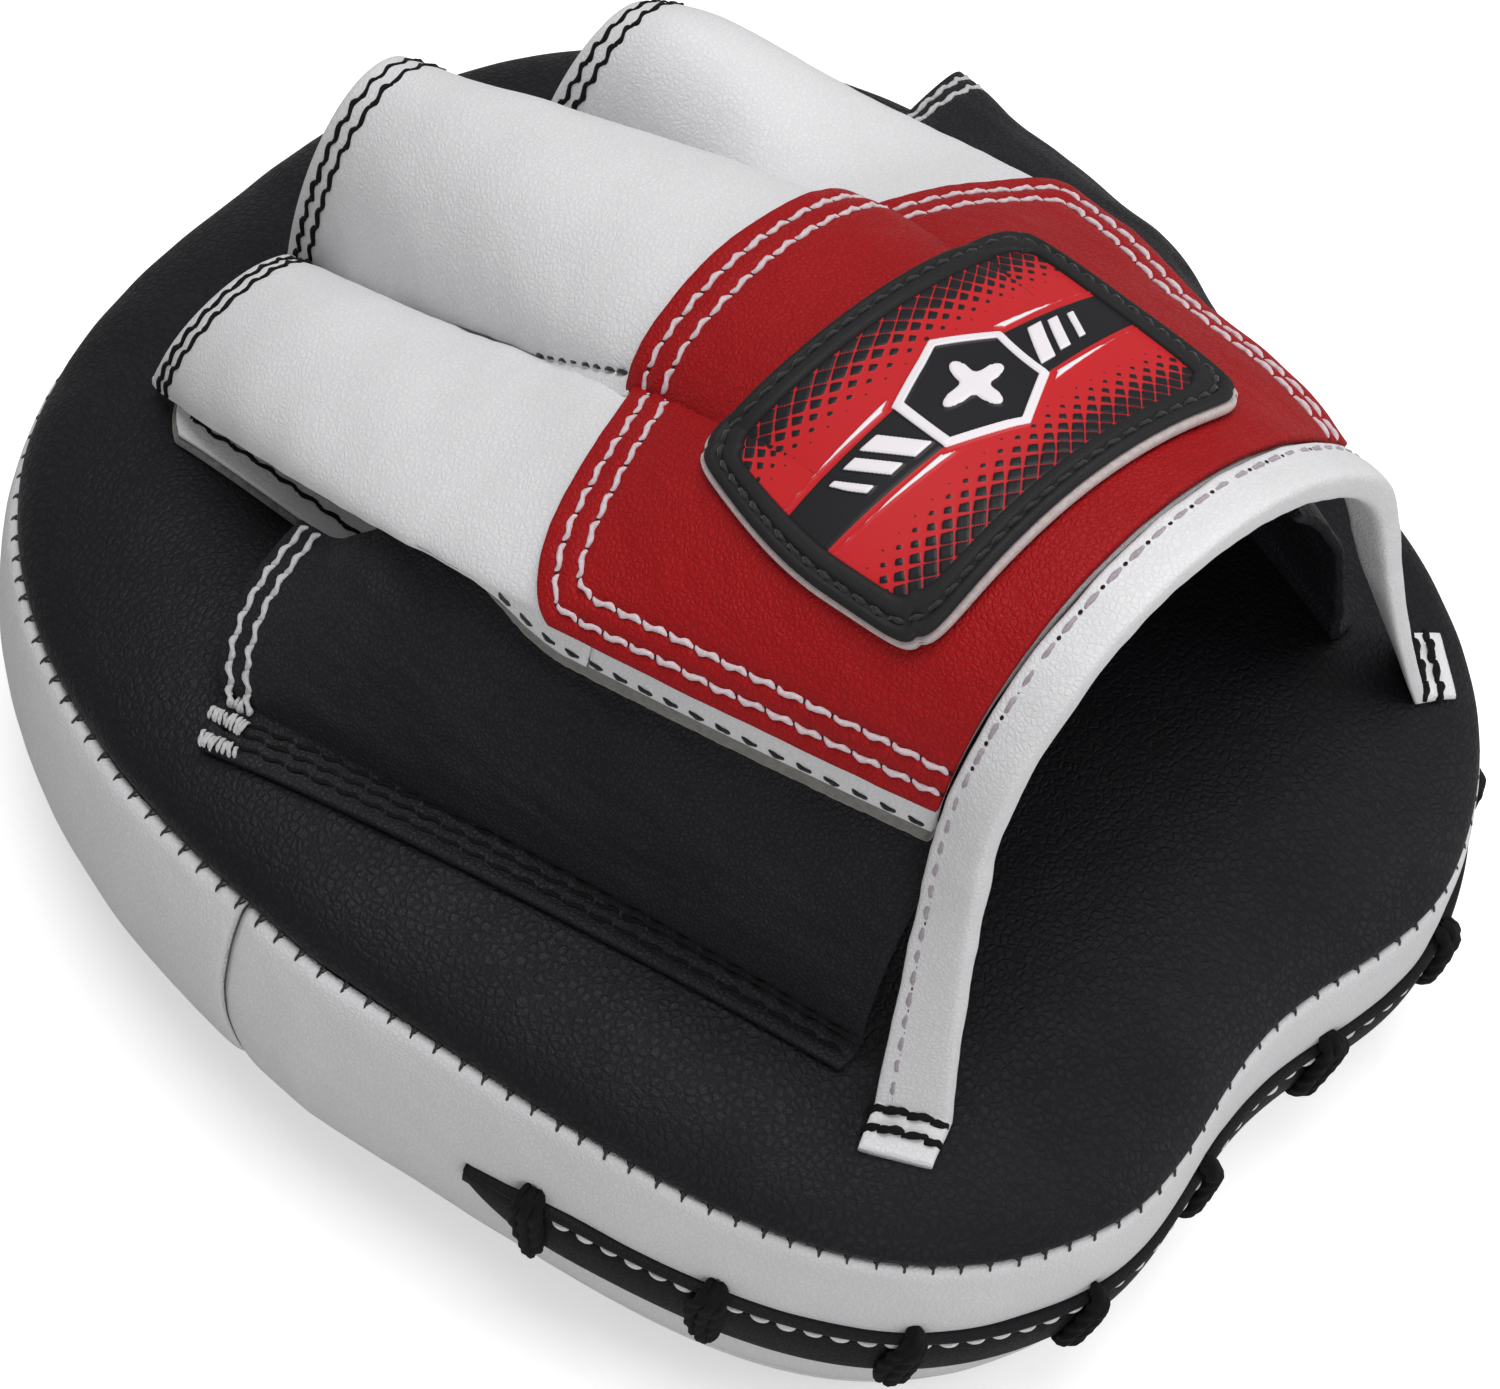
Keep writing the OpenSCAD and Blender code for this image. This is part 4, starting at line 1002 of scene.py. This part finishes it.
for name, node, drop, cut, size, sunk, thickness, material, slot in (
        ("hand_cover_leather", "hand_cover", white_drop, 0.8 * mm, (70, 200), 0, hand_leather,
         white_leather, "white_leather"),
        ("cover_felt_sheet", "cover_felt", white_drop, 1.4 * mm, (70, 200),
         hand_leather + layer_gap, felt_thickness, felt, "felt"),
        ("hand_lining_cloth", "hand_lining", 2 * mm, 1.4 * mm, (50, 120),
         hand_leather + felt_thickness + 3 * layer_gap, lining_thickness, lining_cloth,
         "black_lining")):
    grid = cover_grid(drop, cuff_y - cut, *size)
    normals = grid_normals(grid)
    hand_sheet(name, grid - normals * sunk, thickness, material, slot, normals, node=node)
    print(name, "%.1f mm thick" % (thickness / mm))

# %% Felt showing under the white strips
for side, end in sides.items():
    y, share = np.linspace(-3 * mm, 1.4 * mm - cuff_y, 200), np.linspace(0, 1, 10)
    shown = 3.3 * mm * ease((-1 * mm - y) / (14 * mm)) ** 0.6
    grid = np.stack([strip_point(y, side, strip_drop(y) - 0.2 * mm + shown * s) for s in share], 1)
    ragged = drift(grid, 1.2 * mm, 61) * 0.16 * mm
    grid[..., 0] -= side * (0.35 * mm + ragged)
    grid[..., 2] += drift(grid, 1.5 * mm, 62) * 0.15 * mm * share
    out = np.broadcast_to([side * 1.0, 0, 0.1], grid.shape)
    hand_sheet("cover_felt_edge_" + end, grid, 2.0 * mm, felt_fibres, "felt", out)
print("felt shows up to %.1f mm" % (shown.max() / mm))

# %% Strips in the valleys
# Each covers a valley's seam, which rises toward the cuff from its height at valley_start
valley_seam_x, valley_seam_z, valley_climb = 24.5 * mm, 118.6 * mm, 0.734
valley_start = 19 * mm
valley_rows = []
for side, end in sides.items():
    y = np.linspace(22 * mm, 0 * mm, 60)
    middle = np.stack([side * valley_seam_x + 0 * y, y,
                       valley_seam_z + valley_climb * (valley_start - y)], -1)
    u = np.linspace(-4, 4.2, 24)[None, :, None] * mm
    up, rise = unit(np.array([0.64 * side, 0.6, 0.77])), np.array([-0.77 * side, 0, 0.64])
    half = np.sqrt(np.clip((22.5 * mm - y) / (3 * mm), 0, 1))[:, None, None]
    grid = middle[:, None] + rise * (u * half) - up * groove(u, 0, 0.35 * mm, 0.9 * mm)
    hand_sheet("valley_strip_" + end, grid, 0.8 * mm, white_leather, "white_leather",
               np.broadcast_to(up, grid.shape))
    valley_rows.append(stitch_row(middle, np.tile(up, (60, 1)), 3 * mm, 0.7 * mm, 0.85))
hand_sewing("valley_thread", valley_rows, black_thread, "black_leather")
print("%d valley strips" % len(valley_rows))

# %% Stitches of the white strips
strip_rows = []
for side in sides:
    y = np.linspace(-7 * mm, 1 * mm - cuff_y, 160)
    line = strip_point(y, side, np.maximum(strip_drop(y) - 1.05 * mm, 0))
    out = np.tile([side * 1.0, 0, 0.1], (len(y), 1))
    strip_rows.append(stitch_row(line, out, 4.6 * mm, 0.75 * mm, 0.66, 0.25 * mm, lift=0.2 * mm,
                                 sink=0.5))
hand_sewing("strip_thread", strip_rows, black_thread, "black_leather")
print("%.0f mm of seam along each strip" % (lengths(line)[-1] / mm))

# %% Knuckle panel
panel_rows = (3.5 * mm, 8.0 * mm)
t, v = np.meshgrid(np.linspace(0, 1, 150), np.linspace(-0.985, 0.985, 260), indexing="ij")
# Its far edge runs a little higher toward the cuff and leaves more of the white cover bare
v_cut = v * (1 - 0.05 * ease(1.6 * t) * (v > 0) * ease(3 * v))
knuckle_grid = hand_point(mix(panel_front(v), 0.8 * mm - cuff_y, t), v_cut)
knuckle_normals = grid_normals(knuckle_grid)
knuckle_grid = knuckle_grid + knuckle_normals * (layer_gap + panel_leather)
rim_distance = np.min([from_edge(knuckle_grid), *np.broadcast_arrays(
    from_edge(knuckle_grid, 1), from_edge(knuckle_grid, 1, True))], 0)
sunk = sum(groove(rim_distance, at, 0.45 * mm, 1.1 * mm) for at in panel_rows)
soft = (drift(knuckle_grid, 11 * mm, 8) * 0.35
        + drift(knuckle_grid * [1, 0.45, 1], 2.6 * mm, 9) * 0.13) * mm
knuckle_grid = knuckle_grid + knuckle_normals * (soft - sunk)[..., None]
knuckle = hand_sheet("knuckle_panel_leather", knuckle_grid, panel_leather, red_leather,
                     "red_leather", knuckle_normals, node="knuckle_panel")
panel_paths = [round_three_sides(knuckle_grid, knuckle_normals, at) for at in panel_rows]
panel_pitch = 4.8 * mm
hand_sewing("knuckle_panel_thread",
            [stitch_row(*path, panel_pitch, 1.0 * mm, 1.04, 0.45 * mm, lift=0.28 * mm, sink=0.45,
                        sway=0.45, twist=2.4) for path in panel_paths],
            white_thread, "white_leather")
# Dark discs of painted shade lie over the needle holes
hand_sewing("knuckle_panel_holes", [hole_shade_discs(*path, panel_pitch, 0.5 * mm) for path in panel_paths],
            painted_hole_shade, "black_leather")
print("knuckle panel", len(knuckle.data.polygons), "faces")

# %% Side sleeves
leg_stagger, flat_columns = 1 * mm, 8
# Each flange narrows from the hem to the cuff, and the hem slants up to the side of the cover
flange_hem_x, hem_top_y = {-1: 93 * mm, 1: 87 * mm}, {-1: 37 * mm, 1: 24 * mm}
flange_cuff_x, flange_hem_y, hem_slant = 61 * mm, 26 * mm, 4 * mm
flange_hem_width, flange_cuff_width = 8 * mm, 3 * mm
# The little finger's sleeve is a fuller tube, drawn towards this line along the hand
tube_x, tube_z = 97 * mm, 112.5 * mm


def curve(start, control, end, u):
    """Points of the parabola from a start to an end, drawn towards a control point."""
    return start * (1 - u) ** 2 + control * 2 * u * (1 - u) + end * u ** 2


def side_grid(side, rows=200, columns=92):
    """A side sleeve from its sewn flange, flat on the pad, up to the edge of the cover."""
    t = np.linspace(0, 1, rows)
    x = mix(flange_hem_x[side], flange_cuff_x, t)
    y = mix(flange_hem_y, -cuff_y - (leg_stagger if side > 0 else 0), t)
    width = mix(flange_hem_width, flange_cuff_width, t)
    flat = []
    for s in np.linspace(0, 1, flat_columns + 1):
        px, py = x - width * s, y + hem_slant * (1 - t) * s
        flat.append(np.stack([px, py, base_z(side * px, py) + layer_gap + sleeve_leather], -1))
    foot = flat.pop()
    gy = mix(hem_top_y[side], -cuff_y, t)
    top_x = through("edge_x", gy) + mix(1 * mm, -10.5 * mm, ease((30 * mm - gy) / (25 * mm)))
    under = mix(2.5 * mm, 5 * mm, ease(-gy / (15 * mm)))
    top_z = edge_z(gy) - mix(9 * mm, under, ease((30 * mm - gy) / (14 * mm)))
    top = np.stack([top_x, gy, top_z], -1)
    knee = np.stack([mix(foot[:, 0], top_x, 0.1), gy, mix(foot[:, 2], top_z, 0.62)], -1)
    if side > 0:
        tube = np.stack([tube_x + 0 * gy, gy, tube_z + 0 * gy], -1)
        knee = mix(knee, tube, ease((gy + 80 * mm) / (58 * mm))[:, None])
    bend = [curve(foot, knee, top, u) for u in np.linspace(0, 1, columns - flat_columns)]
    return np.stack(flat + bend, 1) * [side, 1, 1]


hem_rows, flange_rows = (2.3 * mm, 5.8 * mm), (2.4 * mm, 4.6 * mm, 6.6 * mm)
for side, node in ((-1, "thumb_sleeve"), (1, "little_finger_sleeve")):
    outer = side_grid(side)
    normals = grid_normals(outer) * -side
    hem, free = from_edge(outer), from_edge(outer, 1)
    sunk = sum(groove(hem, at, 0.3 * mm, 0.9 * mm) for at in hem_rows)
    sunk = sunk + sum(groove(free, at, 0.6 * mm, 0.7 * mm)
                      for at in flange_rows) * ease(hem / (3 * mm))
    creases = (drift(outer * [1, 0.25, 1], 7 * mm, 21) * 0.55 + drift(outer, 16 * mm, 22) * 0.5
               + drift(outer * [1, 0.3, 1], 2.6 * mm, 23) * 0.28) * mm
    creases = creases * ease((free - 9 * mm) / (6 * mm)) * ease(hem / (12 * mm))
    outer = outer + normals * (creases - sunk)[..., None]
    hand_sheet(node + "_leather", outer, sleeve_leather, sleeve_black, "black_leather", normals,
               node=node)
    above_flat = slice(flat_columns - 1, None)
    rows = [contour(hem[:, above_flat], at, 0, outer[:, above_flat], normals[:, above_flat])
            for at in hem_rows]
    hand_sewing(node + "_hem_thread",
                [stitch_row(*row, 4.3 * mm, 1.1 * mm, 1.16, 0.5 * mm, lift=0.3 * mm, sink=0.35,
                            sway=0.5, twist=2.2) for row in rows], grey_thread, "white_leather")
    inside = slice(2, -2)
    rows = [contour(free[inside], at, 1, outer[inside], normals[inside]) for at in flange_rows]
    hand_sewing(node + "_flange_thread",
                [stitch_row(*row, 4.6 * mm, 0.75 * mm, 1.1, 0.3 * mm, lift=0.2 * mm, sway=0.5,
                            seed=30 + k) for k, row in enumerate(rows)],
                cord_black, "black_leather")
    tacks = [tack(outer[i, j] + normals[i, j] * 0.5 * mm, outer[i + 1, j] - outer[i, j],
                  normals[i, j], (2.6 * mm, 2.6 * mm), 5, 0.75 * mm, seed=40 + i + j)
             for i, j in ((2, 1), (8, 1), (2, 5), (8, 5), (6, 9))]
    hand_sewing(node + "_bar_tack", tacks, grey_thread, "white_leather")
    print(node, "%.0f mm long" % (np.ptp(outer[..., 1]) / mm))

# %% Cuff binding
binding_out, binding_in, binding_width = layer_gap + panel_leather + 0.5 * mm, 3 * mm, 9 * mm
# Each leg turns as it comes down, so its foot stands at a slant: foot and tab end, front and back
foot_at = np.array([[65, -91.8], [58.3, -101.5]]) * mm
tab_end_at = np.array([[70.6, -94.8], [64, -104.3]]) * mm
leg_shift, tab_t = 3 * mm, 2.6 * mm


def tab_point(side, x, y, height):
    x = side * x + leg_shift
    return np.stack([x + 0 * y, y + 0 * x, base_z(x, y) + height], -1)


def leg(side, y, rail, out, top, steps=60):
    """One edge of a leg, from the tab's end along the pad and up to the arch."""
    outside = out > 0
    height = layer_gap + tab_t * outside
    foot_x, foot_y = foot_at[rail] - [2.2 * mm * (not outside), 0]
    base = tab_point(side, foot_x, foot_y, height)
    knee = mix(top, base, np.array([0.35, 0, 0.5]))
    knee[1] = mix(y, base[1], 0.25)
    rise = curve(base, knee, top, np.linspace(0, 1, steps, endpoint=False)[:, None])
    s = np.linspace(0, 1, 14)[:-1]
    tab = tab_point(side, mix(tab_end_at[rail, 0], foot_x, s), mix(tab_end_at[rail, 1], foot_y, s),
                    height - 0.9 * mm * outside * (1 - s))
    return np.concatenate([tab, rise])


def binding_path(y, rail, out):
    """One edge of the binding, from tab to tab over the arch of the cuff."""
    v = np.linspace(-1, 1, 170)
    p = hand_point(-cuff_y, v)
    d = unit(np.stack([p[:, 0], 0 * v, p[:, 2] - edge_z(-cuff_y) + 10 * mm], -1))
    arch = np.stack([p[:, 0] + d[:, 0] * out, y + 0 * v, p[:, 2] + d[:, 2] * out], -1)
    path = np.concatenate([leg(-1, y, rail, out, arch[0]), arch,
                           leg(1, y, rail, out, arch[-1])[::-1]])
    for _ in range(160):
        path[20:-20] = (path[19:-21] + 2 * path[20:-20] + path[21:-19]) / 4
    return path


front = -cuff_y - layer_gap
rails = [[binding_path(y, rail, out) for out in (binding_out, -binding_in)]
         for rail, y in enumerate((front, front - binding_width))]
section = []
for turn in np.linspace(0, 2 * np.pi, 40, endpoint=False):
    c, s = np.cos(turn), np.sin(turn)
    u, w = (np.sign(c) * abs(c) ** 0.4 + 1) / 2, (np.sign(s) * abs(s) ** 0.5 + 1) / 2
    section.append(mix(mix(*rails[0], 1 - w), mix(*rails[1], 1 - w), u))
binding_grid = np.array(section).transpose(1, 0, 2)
loop_out = unit(binding_grid - binding_grid.mean(1, keepdims=True))
soft = (drift(binding_grid, 9 * mm, 14) * 0.3 + drift(binding_grid, 3.5 * mm, 15) * 0.1) * mm
stitch_line, inner_line = (mix(rails[0][k], rails[1][k], 0.23) for k in (0, 1))
near_line = np.linalg.norm(binding_grid - stitch_line[:, None], axis=-1)
pressed = soft - groove(near_line, 0, 0.45 * mm, 0.9 * mm)
binding_grid = binding_grid + loop_out * pressed[..., None]
binding = hand_piece("cuff_binding_leather", binding_grid,
                     tube_faces(*binding_grid.shape[:2], first=1), white_leather, "white_leather",
                     node="cuff_binding")
line, up = (row[15:-15] for row in (stitch_line, unit(stitch_line - inner_line)))
binding_pitch = 4.8 * mm
hand_sewing("binding_thread", [stitch_row(line - up * 0.4 * mm, up, binding_pitch, 0.75 * mm, 0.8,
                                          lift=0.2 * mm)], lilac_thread, "white_leather")
# Dark discs of painted shade lie over the needle holes
hand_sewing("binding_holes", [hole_shade_discs(line - up * 0.35 * mm, up, binding_pitch, 0.42 * mm)],
            painted_hole_shade, "black_leather")
tab_rows = []
for side in sides:
    for number, s in enumerate((0.04, 0.5)):
        a, b = mix(foot_at, tab_end_at, s)
        u = np.linspace(-0.05, 1.05, 30)
        line = tab_point(side, mix(a[0], b[0], u), mix(a[1], b[1], u),
                         layer_gap + tab_t + 0.1 * mm - 0.8 * mm * s)
        line[:, 2] -= 1.6 * mm * ((u < 0) | (u > 1))
        tab_rows.append(stitch_row(line, np.tile([0.0, 0, 1], (30, 1)), 3.8 * mm, 1.3 * mm, 1.1,
                                   side * 0.4 * mm, lift=0.35 * mm, sink=0.1, seed=20 + number))
hand_sewing("tab_thread", tab_rows, cord_black, "black_cord")
print("binding", len(binding.data.polygons), "faces")

# %% Badge
badge_width, badge_length, badge_taper, badge_corner = 70.5 * mm, 50.5 * mm, 2.5 * mm, 7 * mm
badge_turn, badge_x, badge_y = np.radians(3.5), 2.5 * mm, 49.5 * mm
badge_t, badge_rim_h, badge_rim_w = 1.4 * mm, 1.2 * mm, 5 * mm
panel_top = 2 * layer_gap + panel_leather


def badge_place(x, y):
    """Point of the hand compartment at a place on the badge."""
    tx = x * np.cos(badge_turn) + y * np.sin(badge_turn) + badge_x
    ty = -x * np.sin(badge_turn) + y * np.cos(badge_turn) - badge_y
    dx = through("edge_x", ty) + np.where(tx < 0, -1, 1) * crown_skew
    dz = seam_top + through("crown_rise", ty) - edge_z(ty)
    arc = np.hypot(dx, dz) * (1 + (by_side(tx, arch_turn) / 2) ** 2 / 6)
    return hand_point(ty, tx / arc)


def badge_up(x, y, d=0.3 * mm):
    """The way out of the panel at a place on the badge."""
    return unit(np.cross(badge_place(x + d, y) - badge_place(x - d, y),
                         badge_place(x, y + d) - badge_place(x, y - d)))


def rounded(a, b, w, l):
    """Place in a rounded rectangle w by l, for a and b from -1 to 1."""
    k = 0.29 * badge_corner * np.abs(a * b) ** 12
    return a * (w + b * badge_taper / 2) / 2 - np.sign(a) * k, b * l / 2 - np.sign(b) * k


def badge_grid(w, l, height, columns=60, rows=60):
    """Grid, normals and places on the badge of a layer w by l at a height."""
    a, b = np.meshgrid(np.linspace(-1, 1, columns), np.linspace(-1, 1, rows), indexing="ij")
    x, y = rounded(a, b, w, l)
    normals = badge_up(x, y)
    return badge_place(x, y) + normals * height, normals, x, y


rim_low = panel_top + layer_gap + badge_t
grid, normals, x, y = badge_grid(badge_width, badge_length, rim_low)
hand_sheet("badge_base_rubber", grid, badge_t, raw_backing, "black_rubber", normals,
           node="badge_base")
print("badge %.1f by %.1f mm" % (badge_width / mm, badge_length / mm))

# %% Badge rim
turn = np.linspace(0, 8, 480, endpoint=False)
a = np.interp(turn, [0, 1, 3, 5, 7, 8], [1, 1, -1, -1, 1, 1])
b = np.interp(turn, [0, 1, 3, 5, 7, 8], [0, 1, 1, -1, -1, 0])
groove_at, rim_inset = 0.42, 0.45 * mm


def rim_loop(s):
    """A loop on the badge, at a share of the way across the rim, and the way out of it."""
    inset = 2 * (rim_inset + badge_rim_w * s)
    x, y = rounded(a, b, badge_width - inset, badge_length - inset)
    return badge_place(x, y), badge_up(x, y)


loops = []
across = [0.02, *np.linspace(0.02, 0.98, 26), 0.98]
edge_sunk = [0.3 * mm] + [0] * 26 + [0.6 * mm]
for s, sunk in zip(across, edge_sunk):
    p, up = rim_loop(s)
    rise = badge_rim_h * 1.25 * max(0.0, 1 - abs(2 * s - 1) ** 6) ** 0.5
    loops.append(p + up * (rim_low + rise - 0.7 * mm * bump_at(s, groove_at, 0.1) - sunk))
rows, columns = np.shape(loops)[:2]
faces = grid_faces(rows + 1, columns, loop=True) % (rows * columns)
hand_piece("badge_rim_rubber", loops, faces, rubber_black, "black_rubber", node="badge_rim")
p, up = (np.concatenate([row, row[:1]]) for row in rim_loop(groove_at))
hand_sewing("badge_thread", [stitch_row(p + up * (rim_low + badge_rim_h * 0.75), up, 3.3 * mm,
                                        0.8 * mm, 0.86, 0.15 * mm, lift=0.3 * mm, sink=0.6)],
            black_thread, "black_leather")
print("rim of the badge has %d faces" % len(faces))

# %% Badge face
face_w, face_l = (size - 2 * badge_rim_w - 0.6 * mm for size in (badge_width, badge_length))
grid, normals, x, y = badge_grid(face_w, face_l, 0.0, 230, 160)


def bar(x, y, cx, half_w, half_l, slant):
    """Distance from a slanted bar, below 0 inside it."""
    return np.maximum(np.abs(x - cx - slant * y) - half_w, np.abs(y) - half_l)


# A star in a hexagon, three slanted bars and a stripe on each side, and a field of diamonds
hexagon_size, star_size, band_half, stripe_y, field_y = np.array([9.2, 5.6, 5.9, 7.4, 10.2]) * mm
fall = 1 - 0.3 * np.abs(x) / (face_w / 2)
hexagon = np.max([np.abs(x * np.cos(t) + y * np.sin(t)) for t in np.radians([0, 60, 120])], 0)
star_arms = 0.42 + 0.58 * np.abs(np.cos(2 * np.arctan2(y, x))) ** 3
white = np.minimum(np.abs(hexagon - hexagon_size) - 0.7 * mm,
                   np.hypot(x, y) - star_size * star_arms)
for side in sides:
    for k, size in enumerate((1.5, 1.1, 0.7)):
        white = np.minimum(white, bar(x, y, side * (13.6 + 3.9 * k) * mm, size * mm,
                                      (3.6 - 0.5 * k) * mm, 0.5 * side))
    fade = np.clip(1.6 - np.abs(x) / (15 * mm), 0, 1)
    stripe = np.abs(y - side * stripe_y * fall) - 0.55 * mm * fade
    white = np.minimum(white, np.maximum(stripe, 11 * mm - hexagon))
band = np.maximum(np.abs(y) - band_half * fall, 8 * mm - hexagon)
pitch = 3.0 * mm
checks = [np.abs(p - np.round(p)) for p in ((x + y) / pitch, (x - y) / pitch)]
grown = 1.35 * mm * np.clip((np.abs(y) - 9 * mm) / (8 * mm), 0, 1)
dots = np.maximum(np.maximum(*checks) * pitch - grown, field_y - np.abs(y))
black = np.minimum(np.minimum(band, hexagon - hexagon_size + 0.2 * mm), dots)
relief = 0.45 * mm * ease((0.2 * mm - white) / (0.4 * mm)) + 0.15 * mm * ease(-black / (0.3 * mm))
grid = grid + normals * (rim_low + badge_rim_h / 2 + relief)[..., None]
badge_face = hand_sheet("badge_face_rubber", grid, badge_rim_h / 2, badge_print, "red_rubber",
                        normals, node="badge_face")
for name, field in (("white_edge", white), ("black_edge", black)):
    values = np.full(len(badge_face.data.vertices), 1.0)
    values[:field.size] = field.ravel() / mm
    layer = badge_face.data.attributes.new(name, "FLOAT", "POINT")
    layer.data.foreach_set("value", values)
print("badge face", len(badge_face.data.polygons), "faces")

# %% Finishes of the hidden layers
for name, material, slot in (("impact_foam", foam, "foam"), ("shock_sheet", gel, "gel"),
                             ("back_foam", foam, "foam")):
    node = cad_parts[name]
    node.data.materials.clear()
    node.data.materials.append(material)
    print(name, "shows", material.name)

# %% [markdown]
# ## Camera, light and floor
#
# A long lens from above the thumb's side shows the compartment, the badge and the laced wall. One
# big soft light hangs overhead, as over a product table, and two weak ones open the shadows.

# %% Camera
back_axis = unit(np.array([-0.4444, -0.3244, 0.835]))
right_axis = np.array([0.6657, -0.7433, 0.0655])
right_axis = unit(right_axis - back_axis * np.dot(right_axis, back_axis))
up_axis = np.cross(back_axis, right_axis)
camera_data = bpy.data.cameras.new("camera")
camera_data.lens, camera_data.sensor_width, camera_data.sensor_fit = 116.7, 36, "HORIZONTAL"
camera_data.clip_start, camera_data.clip_end = 0.05, 20
camera = bpy.data.objects.new("camera", camera_data)
bpy.context.scene.collection.objects.link(camera)
axes = Matrix([right_axis, up_axis, back_axis]).transposed().to_4x4()
axes.translation = Vector((-0.3690, -0.2752, 0.7263))
camera.matrix_world = axes
bpy.context.scene.camera = camera
print("camera %.2f m from the pad" % axes.translation.length)


# %% Lights
def area_light(name, place, target, size, power):
    data = bpy.data.lights.new(name, "AREA")
    data.shape, data.size, data.energy = "DISK", size, power
    light = bpy.data.objects.new(name, data)
    light.location = place
    light.rotation_euler = (Vector(target) - Vector(place)).to_track_quat("-Z", "Y").to_euler()
    bpy.context.scene.collection.objects.link(light)


area_light("overhead", (0.2, 0.1, 1.5), (0, 0, 0.08), 1.3, 18)
area_light("near_fill", (-1.0, -1.1, 0.45), (0, 0, 0.05), 1.4, 8)
area_light("wrist_fill", (0.9, -1.3, 0.5), (0, 0, 0.05), 0.9, 7)

world = bpy.data.worlds.new("studio")
world.use_nodes = True
bpy.context.scene.world = world
tree = world.node_tree
background = tree.nodes["Background"]
path = tree.nodes.new("ShaderNodeLightPath")
shown = maths(tree, "MULTIPLY", path.outputs["Is Camera Ray"], 0.72)
tree.links.new(maths(tree, "ADD", shown, 0.28), background.inputs["Strength"])
adjust(background, Color=(1, 1, 1, 1))
print("lights and a white world")

# %% Floor
bpy.ops.mesh.primitive_plane_add(size=6, location=(0, 0, 0))
floor = bpy.context.object
floor.name = "floor"
material, tree, shader = new_material("pale_floor")
adjust(shader, Roughness=0.8, Specular_IOR_Level=0.1, Emission_Color=(1, 1, 1, 1))
path = tree.nodes.new("ShaderNodeLightPath")
pale = maths(tree, "ADD", maths(tree, "MULTIPLY", path.outputs["Is Camera Ray"], 0.35), 0.5)
tree.links.new(pale, shader.inputs["Base Color"])
place = object_place(tree)
away = add(tree, "ShaderNodeVectorMath", [("Vector", place)], operation="LENGTH")
glow = smooth_range(tree, away.outputs["Value"], 0.3, 1.2, 0.45, 1.0)
tree.links.new(maths(tree, "MULTIPLY", path.outputs["Is Camera Ray"], glow),
               shader.inputs["Emission Strength"])
floor.data.materials.append(material)
bpy.context.scene.view_settings.view_transform = "Standard"
print("floor is %.0f m wide" % floor.dimensions.x)
